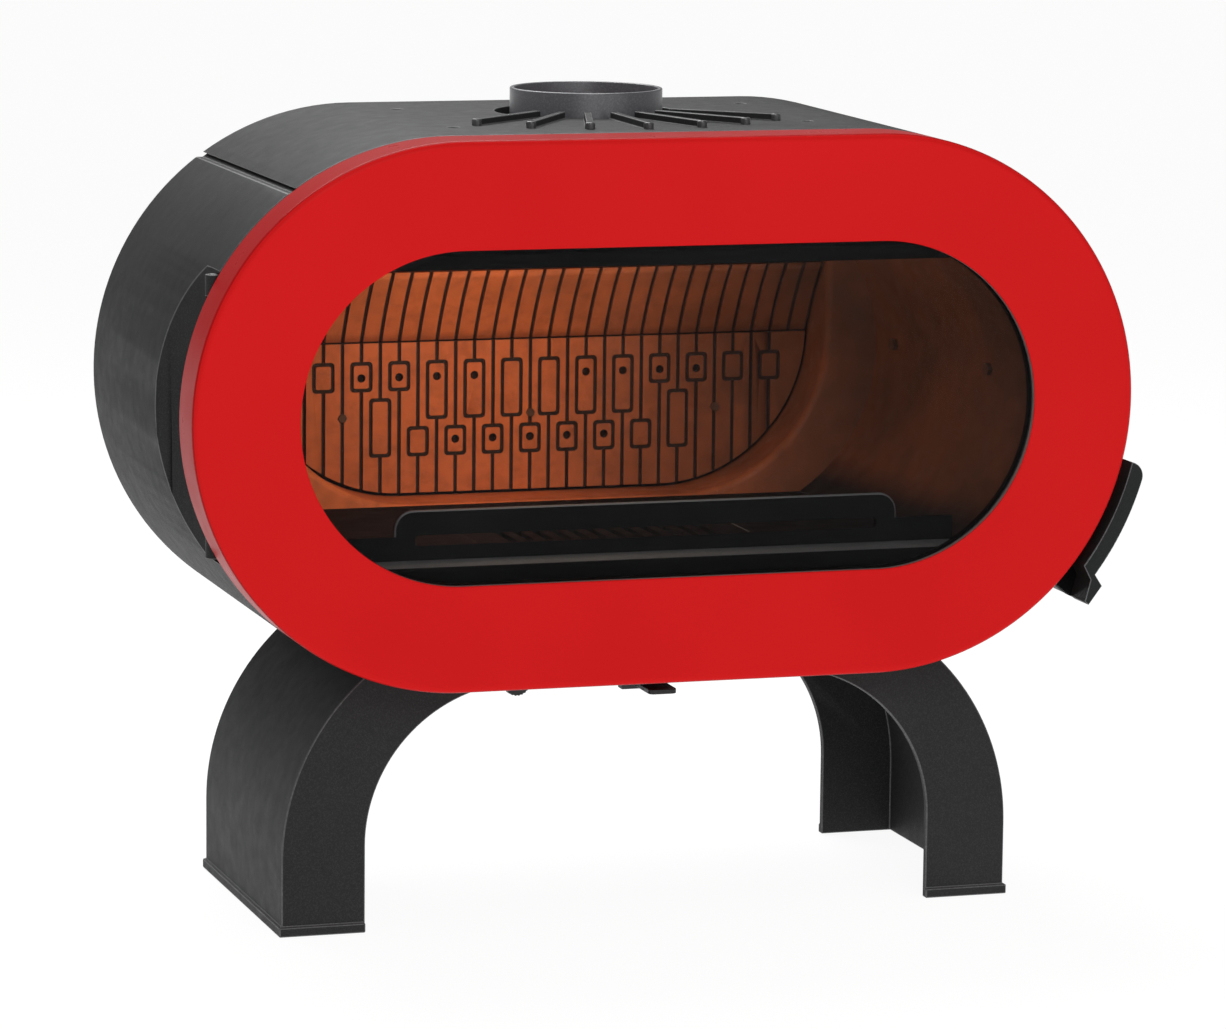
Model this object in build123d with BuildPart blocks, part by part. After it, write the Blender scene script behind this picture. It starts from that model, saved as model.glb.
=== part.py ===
"""Free-standing cast-iron stove: a wide stadium-shaped body on two arched legs.

Frame: X to the right, Y to the back (the door faces -Y), Z up. The origin is on the floor,
under the middle of the body. Heights of the body's own features are measured from its centre line.
"""
from build123d import *
import os
from math import cos, radians, sin, sqrt

os.makedirs("parts", exist_ok=True)

# ---------------------------------------------------------------- driving dimensions (mm)
FIT_GAP = 0.3  # between castings that seat on each other along a curve
RUN_GAP = 0.06  # radial running clearance of a shaft or pin

# body
BODY_WIDTH = 1003.0
BODY_HEIGHT = 560.0
GROUND_CLEARANCE = 257.0
SHELL_DEPTH = 402.0
SHELL_WALL = 8.0
SEAM_HEIGHT = 227.0  # of the joint between top and side shells, above the centre line
SEAM_GAP = 5.0

# door
DOOR_DEPTH = 61.0
DOOR_GAP = 3.0
RING_WIDTH = 110.0  # of the enamelled ring around the window
FACADE_THICKNESS = 8.0
RIM_WALL = 6.0
FACE_ROUND = 7.0
WINDOW_ROUND = 1.5
GLASS_THICKNESS = 4.0
GLASS_LAP = 12.0
GASKET_THICKNESS = 1.5
FRAME_PLATE = 8.0
SEAL_WALL = 16.0
ROPE_WIDTH = 8.0
ROPE_SQUASH = 0.4  # left between the rope and the stove's front face
DOOR_SCREW_RADIUS = 3.0

# hinge on the left, in a scooped recess of the side shell
RECESS_RADIUS = 130.0
RECESS_AXIS_OUT = 75.9  # recess axis, outside the body's left end
RECESS_HALF_HEIGHT = 148.0
HINGE_INSET = 40.5  # hinge axis, inside the body's left end
HINGE_BACK = 16.0  # hinge axis, behind the shells' front edge
HINGE_PIN_RADIUS = 4.0
HINGE_LUG_RADIUS = 9.0
HINGE_ARM_RADIUS = 8.0
HINGE_LUG_TOP = 144.0
HINGE_LUG_HEIGHT = 22.0
HINGE_ARM_HEIGHT = 22.5
HINGE_WEB = 12.0
WASHER_GAP = 0.5

# handle and latch on the right
HANDLE_IN = 9.0  # grip's inner face, outside the door's edge
HANDLE_THICKNESS = 16.5
HANDLE_DEPTH = 40.0
HANDLE_TOP_ANGLE = -13.7
HANDLE_END_ANGLE = -37.5
HANDLE_TOP_ROUND = 15.0
HANDLE_EDGE_ROUND = 1.2
PIVOT_ANGLE = -39.8
PIVOT_OUT = 32.7  # pivot axis, outside the door's edge
LUG_THICKNESS = 14.0
LUG_WIDTH = 34.0
LATCH_SHAFT_RADIUS = 4.5
TONGUE_HUB_RADIUS = 16.5
TONGUE_LENGTH = 40.0
TONGUE_WIDTH = 12.0
TONGUE_THICKNESS = 8.0
TONGUE_ANGLE = 78.0
LATCH_SETBACK = 19.0  # tongue, behind the door's back edge
KEEPER_LIFT = 6.6  # height of the keeper's lip above the shell

# flue collar, its well and the fins around it
COLLAR_RADIUS = 81.0
COLLAR_WALL = 5.0
COLLAR_RISE = 25.0
COLLAR_STEP = 2.0  # ledge the flue pipe stands on, inside the collar
COLLAR_SETBACK = 254.0  # behind the shells' front edge
COLLAR_FLANGE = 13.0
COLLAR_FLANGE_THICKNESS = 7.0
WELL_CLEARANCE = 3.0
WELL_RADIUS = COLLAR_RADIUS + COLLAR_FLANGE + WELL_CLEARANCE
WELL_DEPTH = 16.0
WELL_WALL = 6.0
FIN_ANGLES = [-48.0, -32.0, -16.0, 0.0, 16.0, 32.0, 48.0]
FIN_REACH = 222.0
FIN_WIDTH = 7.5
FIN_HEIGHT = 7.0
COVER_SCREW_X = 192.0
COVER_SCREW_Y = 110.0
COVER_SCREW_RADIUS = 6.0

# front frame, firebox liner and rear casting
FRAME_OPENING = 206.0  # radius of the firebox mouth
FRONT_FRAME_THICKNESS = 10.0
LINER_WALL = 6.0
LINER_REAR_RADIUS = 190.0
LINER_REAR_HALF = 193.0
LINER_BOLT_FRONT = 114.0  # bolts, behind the liner's front edge
LINER_BOLT_REAR = 334.0
LINER_BOLT_HEIGHT = 8.0
LINER_BOLT_HEAD = 7.0
REAR_PLATE = 10.0
REAR_BOX_DEPTH = 68.0
REAR_BOX_WALL = 6.0
RECESS_HALF_WIDTH = 324.0
RECESS_BOTTOM = -159.0
RECESS_TOP = 118.0
RECESS_CORNER = 174.0
RECESS_TOP_CORNER = 20.0
RECESS_LIP_ROUND = 8.0
ROD_RADIUS = 5.0
ROD_RING = 246.0
ROD_ROW_X = 150.0
NUT_RADIUS = 8.5
NUT_HEIGHT = 7.0

# firebacks, with their relief of grooves, loops and pads
FIREBACK_GAP = 4.0
FIREBACK_THICKNESS = 8.0
FIREBACK_AIR_SPACE = 4.0
SPLIT_HEIGHT = 12.5
SPLIT_GAP = 2.0
UPPER_RISE = 81.0
UPPER_LEAN = 54.0
UPPER_BEND = 23.0  # how far it leans at half its height
UPPER_THICKNESS = 8.0
GROOVE_PITCH = 21.4
GROOVE_COUNT = 13  # on each side of the middle
GROOVE_WIDTH = 4.2
GROOVE_DEPTH = 3.0
PAD_WIDTH = 17.0
PAD_SHORT = 25.3
PAD_TALL = 57.5
PAD_ROUND = 2.5
UPPER_ROW_TOP = -12.7
LOWER_ROW_BOTTOM = -110.8
HOLE_INSET = 14.0
AIR_HOLE_RADIUS = 4.6
POST_HEIGHT = -70.0
POST_RADIUS = 9.0

# hearth
HEARTH_HEIGHT = -160.0
HEARTH_THICKNESS = 12.0
GRATE_LENGTH = 300.0
GRATE_WIDTH = 200.0
GRATE_THICKNESS = 8.0
GRATE_LEDGE = 10.0
LIP_TOP = -155.5
LIP_DEPTH = 30.0
GUARD_THICKNESS = 8.0
GUARD_TOP = -104.0
GUARD_WING_TOP = -131.0
GUARD_HALF = 272.0
GUARD_WING_HALF = 335.0
GUARD_SLOT_TOP = -130.0
GUARD_SLOT_BOTTOM = -141.0
GUARD_SLOT_HALF = 250.0
PAN_LENGTH = 270.0
PAN_WIDTH = 180.0
PAN_HEIGHT = 18.0
PAN_WALL = 2.5
BAFFLE_THICKNESS = 6.0
BAFFLE_HALF = 314.0
BAFFLE_FRONT = 86.0  # front edge, behind the shells' front edge
BAFFLE_FRONT_HEIGHT = 165.0
WASH_BAR_BOTTOM = 141.0
WASH_BAR_DEPTH = 28.0

# legs
LEG_OUTER_X = 394.0
LEG_INNER_X = 306.0
LEG_FRONT = 3.4  # front plate, behind the shells' front edge
LEG_DEPTH = 335.0
LEG_PLATE = 8.0
LEG_SIDE_WALL = 7.0
LEG_OUTER_RADIUS = 249.0
LEG_OUTER_ARC_HEIGHT = 77.0  # centre of the outer arc above the floor
LEG_OUTER_ARC_Z = LEG_OUTER_ARC_HEIGHT - GROUND_CLEARANCE - BODY_HEIGHT / 2
LEG_INNER_RADIUS = 163.0
LEG_INNER_ARC_HEIGHT = 90.0  # centre of the inner arc above the floor
LEG_INNER_ARC_Z = LEG_INNER_ARC_HEIGHT - GROUND_CLEARANCE - BODY_HEIGHT / 2
FOOT_HEIGHT = 10.0
FOOT_LIP = 3.0
LEG_BOLT_RADIUS = 5.0
LEG_BOLT_X = 206.0
LEG_SEAT_X = 158.0  # inner end of the seat under the body
LEG_BOLT_INSET = 62.0

# air controls under the body
LEVER_WIDTH = 30.0
LEVER_THICKNESS = 5.0
LEVER_DROP = 11.0  # top of the lever, under the body
LEVER_TIP = 28.0  # behind the door's face
LEVER_TRAVEL = 40.0
SHUTTER_WIDTH = 60.0
SHUTTER_LENGTH = 64.0
GUIDE_GAP = 0.5
GUIDE_THICKNESS = 14.0
GUIDE_BACK = 34.0  # behind the shells' front edge
AIR_BOX_FRONT = 126.0  # behind the shells' front edge
AIR_BOX_LENGTH = 136.0
AIR_BOX_LEFT = -154.0
AIR_BOX_RIGHT = 62.0
AIR_BOX_HEIGHT = 35.0
AIR_BOX_WALL = 4.0
KNOB_X = -128.0
KNOB_RADIUS = 14.5
KNOB_DROP = 15.5
KNOB_LENGTH = 14.0
KNOB_BACK = 60.0  # knob's front, behind the shells' front edge
VALVE_SHAFT_RADIUS = 5.0
FLAP_WIDTH = 26.0
FLAP_LENGTH = 40.0
FLAP_THICKNESS = 3.0

# ---------------------------------------------------------------- derived places
END_RADIUS = BODY_HEIGHT / 2
HALF_STRAIGHT = BODY_WIDTH / 2 - END_RADIUS
CENTRE_Z = GROUND_CLEARANCE + END_RADIUS
TOTAL_DEPTH = DOOR_DEPTH + DOOR_GAP + SHELL_DEPTH + REAR_BOX_DEPTH
FACE_Y = -TOTAL_DEPTH / 2
FRONT_Y = FACE_Y + DOOR_DEPTH + DOOR_GAP
REAR_Y = FRONT_Y + SHELL_DEPTH
BOX_Y = REAR_Y + REAR_BOX_DEPTH
MIDDLE_Y = (FRONT_Y + REAR_Y) / 2
PLATE_Y = REAR_Y - REAR_PLATE
WINDOW_RADIUS = END_RADIUS - RING_WIDTH
COLLAR_Y = FRONT_Y + COLLAR_SETBACK
HINGE_X = -(BODY_WIDTH / 2 - HINGE_INSET)
HINGE_Y = FRONT_Y + HINGE_BACK
RECESS_X = -(BODY_WIDTH / 2 + RECESS_AXIS_OUT)
GLASS_Y = FACE_Y + FACADE_THICKNESS + GASKET_THICKNESS
FRAME_Y = GLASS_Y + GLASS_THICKNESS + GASKET_THICKNESS
ROPE_Y = FRONT_Y - ROPE_SQUASH - ROPE_WIDTH
ROPE_RADIUS = FRAME_OPENING + SEAL_WALL / 2
FIREBACK_Y = BOX_Y - REAR_BOX_WALL - FIREBACK_AIR_SPACE - FIREBACK_THICKNESS
LIP_Y = FRONT_Y + 2
GUARD_Y = LIP_Y + 18
THROAT_RADIUS = COLLAR_RADIUS - COLLAR_WALL - COLLAR_STEP
PIVOT_X = HALF_STRAIGHT + (END_RADIUS + PIVOT_OUT) * cos(radians(PIVOT_ANGLE))
PIVOT_Z = (END_RADIUS + PIVOT_OUT) * sin(radians(PIVOT_ANGLE))
UNDERSIDE_Z = CENTRE_Z - END_RADIUS


def save(piece, name):
    """Label a finished sub-part and write its STEP file."""
    piece.part.label = name
    export_step(piece.part, f"parts/{name}.step")


def upright(y):
    """An upright plane facing the front, its origin on the body's centre line."""
    return Plane(origin=(0, y, CENTRE_Z), x_dir=(1, 0, 0), z_dir=(0, -1, 0))


def sideways(x):
    """An upright plane facing the right, its first axis towards the back."""
    return Plane(origin=(x, 0, CENTRE_Z), x_dir=(0, 1, 0), z_dir=(1, 0, 0))


def stadium(y, outer, inner=None, half=HALF_STRAIGHT):
    """A stadium, or a stadium ring, on the upright plane at y."""
    with BuildSketch(upright(y)) as outline:
        SlotOverall(2 * (half + outer), 2 * outer)
        if inner:
            SlotOverall(2 * (half + inner), 2 * inner, mode=Mode.SUBTRACT)
    return outline.sketch


def lofted_stadium(front_y, rear_y, front_radius, rear_radius):
    """A stadium block that narrows towards the back, as the firebox does."""
    with BuildPart() as block:
        with BuildSketch(upright(front_y)):
            SlotOverall(2 * (HALF_STRAIGHT + front_radius), 2 * front_radius)
        with BuildSketch(upright(rear_y)):
            SlotOverall(2 * (LINER_REAR_HALF + rear_radius), 2 * rear_radius)
        loft(ruled=True)
    return block.part


def firebox_room(gap):
    """The space inside the liner, less a gap, carried forward through the front frame's mouth."""
    liner_front = FRONT_Y + FRONT_FRAME_THICKNESS
    narrowing = (FRAME_OPENING - LINER_REAR_RADIUS) / (PLATE_Y - liner_front)
    with BuildPart() as room:
        add(lofted_stadium(liner_front, PLATE_Y, FRAME_OPENING - gap, LINER_REAR_RADIUS - gap))
        mouth = FRAME_OPENING - gap - narrowing
        extrude(stadium(FRONT_Y, mouth), amount=-FRONT_FRAME_THICKNESS)
    return room.part


def rear_recess(y, grow=0.0):
    """The rear recess: straight sides, large round lower corners, small upper ones."""
    width = 2 * (RECESS_HALF_WIDTH + grow)
    height = RECESS_TOP - RECESS_BOTTOM + 2 * grow
    with BuildSketch(upright(y)) as outline:
        with Locations((0, (RECESS_TOP + RECESS_BOTTOM) / 2)):
            Rectangle(width, height)
        lower = outline.vertices().group_by(Axis.Y)[0]
        fillet(lower, radius=RECESS_CORNER + grow)
        upper = outline.vertices().group_by(Axis.Y)[-1]
        fillet(upper, radius=RECESS_TOP_CORNER + grow)
    return outline.sketch


# ---------------------------------------------------------------- shells
def side_band(outer, inner, half_height):
    """The left part of a stadium ring between two heights, over the depth of the shells."""
    with BuildPart() as band:
        extrude(stadium(FRONT_Y, outer, inner), amount=-SHELL_DEPTH)
        with Locations((-BODY_WIDTH / 4 - 1, MIDDLE_Y, CENTRE_Z)):
            Box(BODY_WIDTH / 2, SHELL_DEPTH + 2, 2 * half_height, mode=Mode.INTERSECT)
    return band.part


SKIN = END_RADIUS - SHELL_WALL / 2
INNER = END_RADIUS - SHELL_WALL

with BuildPart() as hinge_recess:
    with Locations((RECESS_X, FRONT_Y, CENTRE_Z)):
        Cylinder(RECESS_RADIUS + SHELL_WALL, 2 * (RECESS_HALF_HEIGHT + SHELL_WALL))
    extrude(stadium(FRONT_Y, END_RADIUS), amount=-SHELL_DEPTH, mode=Mode.INTERSECT)
    with Locations((RECESS_X, FRONT_Y, CENTRE_Z)):
        Cylinder(RECESS_RADIUS, 2 * RECESS_HALF_HEIGHT, mode=Mode.SUBTRACT)

with BuildPart() as left_side_shell:
    add(side_band(END_RADIUS, SKIN, SEAM_HEIGHT - SEAM_GAP / 2))
    add(side_band(SKIN, INNER, SEAM_HEIGHT + SEAM_GAP / 2))
    with Locations((RECESS_X, FRONT_Y, CENTRE_Z)):
        Cylinder(RECESS_RADIUS, 2 * RECESS_HALF_HEIGHT, mode=Mode.SUBTRACT)
    add(hinge_recess.part)
    lug_middle = HINGE_LUG_TOP - HINGE_LUG_HEIGHT / 2
    wall_x = RECESS_X + RECESS_RADIUS + 2
    for side in (1, -1):
        with Locations((HINGE_X, HINGE_Y, CENTRE_Z + side * lug_middle)):
            Cylinder(HINGE_LUG_RADIUS, HINGE_LUG_HEIGHT)
        with Locations(((HINGE_X + wall_x) / 2, HINGE_Y, CENTRE_Z + side * lug_middle)):
            Box(wall_x - HINGE_X, 2 * HINGE_LUG_RADIUS - 2, HINGE_LUG_HEIGHT)
        with Locations((HINGE_X, HINGE_Y, CENTRE_Z + side * lug_middle)):
            Cylinder(HINGE_PIN_RADIUS, HINGE_LUG_HEIGHT, mode=Mode.SUBTRACT)
save(left_side_shell, "left_side_shell")

with BuildPart() as right_side_shell:
    add(side_band(END_RADIUS, SKIN, SEAM_HEIGHT - SEAM_GAP / 2).mirror(Plane.YZ))
    add(side_band(SKIN, INNER, SEAM_HEIGHT + SEAM_GAP / 2).mirror(Plane.YZ))
save(right_side_shell, "right_side_shell")

shell_cap = END_RADIUS - SEAM_HEIGHT - SEAM_GAP / 2
well_floor = CENTRE_Z + END_RADIUS - WELL_DEPTH - WELL_WALL
cover_screws = [(x, MIDDLE_Y + y) for x in (-COVER_SCREW_X, COVER_SCREW_X) for y in (-COVER_SCREW_Y, COVER_SCREW_Y)]

with BuildPart() as top_shell:
    extrude(stadium(FRONT_Y, END_RADIUS, INNER), amount=-SHELL_DEPTH)
    with Locations((0, MIDDLE_Y, CENTRE_Z + END_RADIUS - shell_cap / 2 + 1)):
        Box(BODY_WIDTH, SHELL_DEPTH + 2, shell_cap + 2, mode=Mode.INTERSECT)
    with BuildSketch(Plane.XY.offset(well_floor)):
        with Locations((0, COLLAR_Y)):
            Circle(WELL_RADIUS + WELL_WALL)
    extrude(amount=WELL_DEPTH + WELL_WALL - SHELL_WALL / 2)
    with BuildSketch(Plane.XY.offset(well_floor + WELL_WALL)):
        with Locations((0, COLLAR_Y)):
            Circle(WELL_RADIUS)
    extrude(amount=WELL_DEPTH + 1, mode=Mode.SUBTRACT)
    with BuildSketch(Plane.XY.offset(well_floor)):
        with Locations((0, COLLAR_Y)):
            Circle(THROAT_RADIUS)
    extrude(amount=WELL_WALL, mode=Mode.SUBTRACT)
    for angle in FIN_ANGLES:
        centre = Location((0, COLLAR_Y, CENTRE_Z + END_RADIUS - 1), (0, 0, angle - 90))
        with Locations(centre * Location((WELL_RADIUS + 1, 0, 0))):
            start = (Align.MIN, Align.CENTER, Align.MIN)
            Box(FIN_REACH - WELL_RADIUS - 1, FIN_WIDTH, FIN_HEIGHT + 1, align=start)
    with Locations(Plane.XY.offset(CENTRE_Z + END_RADIUS)):
        with Locations(*cover_screws):
            Hole(COVER_SCREW_RADIUS, depth=SHELL_WALL + 1)
save(top_shell, "top_shell")

with BuildPart() as cover_plugs:
    with BuildSketch(Plane.XY.offset(CENTRE_Z + INNER)):
        with Locations(*cover_screws):
            Circle(COVER_SCREW_RADIUS)
    extrude(amount=SHELL_WALL - 2.5)
    with BuildSketch(Plane.XY.offset(CENTRE_Z + INNER + SHELL_WALL - 5)):
        with Locations(*cover_screws):
            RegularPolygon(3.2, 6)
    extrude(amount=4, mode=Mode.SUBTRACT)
save(cover_plugs, "cover_plugs")

leg_bolt_y = LEG_DEPTH / 2 - LEG_BOLT_INSET
leg_middle_y = FRONT_Y + LEG_FRONT + LEG_DEPTH / 2
leg_bolts_at = [(x, leg_middle_y + y) for x in (-LEG_BOLT_X, LEG_BOLT_X) for y in (-leg_bolt_y, leg_bolt_y)]
air_box_y = FRONT_Y + AIR_BOX_FRONT
air_box_x = (AIR_BOX_LEFT + AIR_BOX_RIGHT) / 2

with BuildPart() as bottom_shell:
    extrude(stadium(FRONT_Y, END_RADIUS, INNER), amount=-SHELL_DEPTH)
    with Locations((0, MIDDLE_Y, UNDERSIDE_Z + shell_cap / 2 - 1)):
        Box(BODY_WIDTH, SHELL_DEPTH + 2, shell_cap + 2, mode=Mode.INTERSECT)
    with BuildSketch(Plane.XY.offset(UNDERSIDE_Z)):
        with Locations(*leg_bolts_at):
            Circle(LEG_BOLT_RADIUS + RUN_GAP)
        with Locations((air_box_x, air_box_y + AIR_BOX_LENGTH / 2)):
            with GridLocations(36, 0, 5, 1):
                SlotOverall(AIR_BOX_LENGTH * 0.6, 10, rotation=90)
    extrude(amount=SHELL_WALL, mode=Mode.SUBTRACT)
save(bottom_shell, "bottom_shell")

# ---------------------------------------------------------------- flue collar
collar_seat = CENTRE_Z + END_RADIUS - WELL_DEPTH
collar_bolt_ring = COLLAR_RADIUS + COLLAR_FLANGE / 2

with BuildPart() as flue_collar:
    with BuildSketch(Plane.XY.offset(collar_seat)):
        with Locations((0, COLLAR_Y)):
            Circle(COLLAR_RADIUS + COLLAR_FLANGE)
            with PolarLocations(collar_bolt_ring, 3, start_angle=90):
                Circle(3.1, mode=Mode.SUBTRACT)
    extrude(amount=COLLAR_FLANGE_THICKNESS)
    with BuildSketch(Plane.XY.offset(collar_seat)):
        with Locations((0, COLLAR_Y)):
            Circle(COLLAR_RADIUS)
    extrude(amount=WELL_DEPTH + COLLAR_RISE)
    rim = flue_collar.faces().sort_by(Axis.Z)[-1].outer_wire().edges()
    fillet(rim, radius=1.2)
    with BuildSketch(Plane.XY.offset(collar_seat)):
        with Locations((0, COLLAR_Y)):
            Circle(COLLAR_RADIUS - COLLAR_WALL)
    extrude(amount=WELL_DEPTH + COLLAR_RISE, mode=Mode.SUBTRACT)
save(flue_collar, "flue_collar")

with BuildPart() as collar_bolts:
    with BuildSketch(Plane.XY.offset(collar_seat + COLLAR_FLANGE_THICKNESS)):
        with Locations((0, COLLAR_Y)):
            with PolarLocations(collar_bolt_ring, 3, start_angle=90):
                RegularPolygon(5.2, 6)
    extrude(amount=4)
    with BuildSketch(Plane.XY.offset(collar_seat)):
        with Locations((0, COLLAR_Y)):
            with PolarLocations(collar_bolt_ring, 3, start_angle=90):
                Circle(3.0)
    extrude(amount=COLLAR_FLANGE_THICKNESS)
save(collar_bolts, "collar_bolts")

# ---------------------------------------------------------------- front frame, rods, liner, throat
rod_corner = ROD_RING * sqrt(0.5)
rod_places = [(x, z) for x in (-ROD_ROW_X, ROD_ROW_X) for z in (-ROD_RING, ROD_RING)]
rod_places += [(sx * (HALF_STRAIGHT + rod_corner), sz * rod_corner) for sx in (-1, 1) for sz in (-1, 1)]

with BuildPart() as front_frame:
    extrude(stadium(FRONT_Y, INNER - FIT_GAP, FRAME_OPENING), amount=-FRONT_FRAME_THICKNESS)
    with Locations((RECESS_X, FRONT_Y, CENTRE_Z)):
        recess_height = 2 * (RECESS_HALF_HEIGHT + SHELL_WALL + FIT_GAP)
        Cylinder(RECESS_RADIUS + SHELL_WALL + FIT_GAP, recess_height, mode=Mode.SUBTRACT)
save(front_frame, "front_frame")

with BuildPart() as tie_rods:
    with BuildSketch(upright(FRONT_Y + FRONT_FRAME_THICKNESS)):
        with Locations(*rod_places):
            Circle(ROD_RADIUS)
    extrude(amount=-(REAR_Y + NUT_HEIGHT + 2 - FRONT_Y - FRONT_FRAME_THICKNESS))
save(tie_rods, "tie_rods")

with BuildPart() as rod_nuts:
    with BuildSketch(upright(REAR_Y)):
        with Locations(*rod_places):
            RegularPolygon(NUT_RADIUS, 6)
        with Locations(*rod_places):
            Circle(ROD_RADIUS, mode=Mode.SUBTRACT)
    extrude(amount=-NUT_HEIGHT)
save(rod_nuts, "rod_nuts")

liner_y = FRONT_Y + FRONT_FRAME_THICKNESS
throat_radius = THROAT_RADIUS + LINER_WALL

with BuildPart() as firebox_liner:
    add(lofted_stadium(liner_y, PLATE_Y, FRAME_OPENING + LINER_WALL, LINER_REAR_RADIUS + LINER_WALL))
    add(lofted_stadium(liner_y, PLATE_Y, FRAME_OPENING, LINER_REAR_RADIUS), mode=Mode.SUBTRACT)
    with Locations((0, COLLAR_Y, CENTRE_Z + FRAME_OPENING)):
        Cylinder(throat_radius + FIT_GAP, 60, mode=Mode.SUBTRACT)
save(firebox_liner, "firebox_liner")

with BuildPart() as flue_throat:
    throat_bottom = CENTRE_Z + LINER_REAR_RADIUS + 2
    with BuildSketch(Plane.XY.offset(throat_bottom)):
        with Locations((0, COLLAR_Y)):
            Circle(throat_radius)
            Circle(THROAT_RADIUS, mode=Mode.SUBTRACT)
    extrude(amount=well_floor - throat_bottom)
save(flue_throat, "flue_throat")

# ---------------------------------------------------------------- rear casting
post_places = [(step * GROOVE_PITCH, POST_HEIGHT) for step in (-10, 0, 10)]

with BuildPart() as rear_casting:
    extrude(stadium(PLATE_Y, INNER - FIT_GAP), amount=-REAR_PLATE)
    extrude(rear_recess(REAR_Y, REAR_BOX_WALL), amount=-REAR_BOX_DEPTH)
    back = rear_casting.faces().sort_by(Axis.Y)[-1].edges()
    fillet(back, radius=6)
    extrude(rear_recess(PLATE_Y), amount=-(BOX_Y - REAR_BOX_WALL - PLATE_Y), mode=Mode.SUBTRACT)
    lip = rear_casting.faces().sort_by(Axis.Y)[0].inner_wires()[0].edges()
    fillet(lip, radius=RECESS_LIP_ROUND)
    with BuildSketch(upright(BOX_Y - REAR_BOX_WALL)):
        with Locations(*post_places):
            Circle(POST_RADIUS)
    extrude(amount=FIREBACK_AIR_SPACE)
    with BuildSketch(upright(PLATE_Y)):
        with Locations(*rod_places):
            Circle(ROD_RADIUS + RUN_GAP)
    extrude(amount=-REAR_PLATE, mode=Mode.SUBTRACT)
save(rear_casting, "rear_casting")

# ---------------------------------------------------------------- firebacks
UPPER_PADS = {1: PAD_TALL, 3: PAD_TALL, 5: PAD_TALL, 7: PAD_SHORT, 9: PAD_SHORT, 11: PAD_SHORT, 13: PAD_SHORT}
LOWER_PADS = {0: PAD_SHORT, 2: PAD_SHORT, 4: PAD_SHORT, 6: PAD_SHORT, 8: PAD_TALL}
UPPER_HOLES = (3, 5, 7, 9)
LOWER_HOLES = (0, 2, 4)
pads = []
holes = []
for step in range(-GROOVE_COUNT, GROOVE_COUNT + 1):
    rank = abs(step)
    x = step * GROOVE_PITCH
    if rank in UPPER_PADS:
        pads.append((x, UPPER_ROW_TOP - UPPER_PADS[rank] / 2, UPPER_PADS[rank]))
    if rank in LOWER_PADS:
        pads.append((x, LOWER_ROW_BOTTOM + LOWER_PADS[rank] / 2, LOWER_PADS[rank]))
    if rank in UPPER_HOLES:
        holes.append((x, UPPER_ROW_TOP - HOLE_INSET))
    if rank in LOWER_HOLES:
        holes.append((x, LOWER_ROW_BOTTOM + HOLE_INSET))


def groove_lines(y, low, high):
    """The straight grooves of one plate, between two heights."""
    with BuildSketch(upright(y)) as lines:
        with Locations((0, (low + high) / 2)):
            with GridLocations(GROOVE_PITCH, 0, 2 * GROOVE_COUNT + 1, 1):
                Rectangle(GROOVE_WIDTH, high - low)
    return lines.sketch


def pad_shapes(y, margin):
    """The pads, each grown by a margin on every side."""
    with BuildSketch(upright(y)) as shapes:
        for x, z, height in pads:
            with Locations((x, z)):
                RectangleRounded(PAD_WIDTH + 2 * margin, height + 2 * margin, PAD_ROUND + margin / 2)
    return shapes.sketch


fireback_top = SPLIT_HEIGHT - SPLIT_GAP / 2

with BuildPart() as fireback_lower:
    extrude(rear_recess(FIREBACK_Y, -FIREBACK_GAP), amount=-FIREBACK_THICKNESS)
    with Locations((0, FIREBACK_Y, CENTRE_Z + fireback_top - 500)):
        Box(BODY_WIDTH, 4 * FIREBACK_THICKNESS, 1000, mode=Mode.INTERSECT)
    extrude(groove_lines(FIREBACK_Y, -170, fireback_top), amount=-GROOVE_DEPTH, mode=Mode.SUBTRACT)
    extrude(pad_shapes(FIREBACK_Y, GROOVE_WIDTH), amount=-FIREBACK_THICKNESS)
    extrude(pad_shapes(FIREBACK_Y, GROOVE_WIDTH), amount=-GROOVE_DEPTH, mode=Mode.SUBTRACT)
    extrude(pad_shapes(FIREBACK_Y, 0), amount=-GROOVE_DEPTH)
    with BuildSketch(upright(FIREBACK_Y)):
        with Locations(*holes):
            Circle(AIR_HOLE_RADIUS)
        with Locations(*post_places):
            Circle(3.1)
    extrude(amount=-FIREBACK_THICKNESS, mode=Mode.SUBTRACT)
save(fireback_lower, "fireback_lower")

with BuildPart() as fireback_screws:
    with BuildSketch(upright(FIREBACK_Y)):
        with Locations(*post_places):
            Circle(3.0)
    extrude(amount=-FIREBACK_THICKNESS)
    with BuildSketch(upright(FIREBACK_Y)):
        with Locations(*post_places):
            RegularPolygon(5.0, 6)
    extrude(amount=3)
save(fireback_screws, "fireback_screws")

upper_low = SPLIT_HEIGHT + SPLIT_GAP / 2
upper_width = 2 * (RECESS_HALF_WIDTH - FIREBACK_GAP)
upper_high = upper_low + UPPER_RISE


def leaning_strip(near, far):
    """The section of the upper fireback, between two distances behind its front face."""
    with BuildSketch(sideways(0)) as strip:
        with BuildLine():
            front = FIREBACK_Y + near
            back = FIREBACK_Y + far
            half_way = (upper_low + upper_high) / 2
            ThreePointArc((front, upper_low), (front - UPPER_BEND, half_way), (front - UPPER_LEAN, upper_high))
            Line((front - UPPER_LEAN, upper_high), (back - UPPER_LEAN, upper_high))
            ThreePointArc((back - UPPER_LEAN, upper_high), (back - UPPER_BEND, half_way), (back, upper_low))
            Line((back, upper_low), (front, upper_low))
        make_face()
    return strip.sketch


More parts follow.
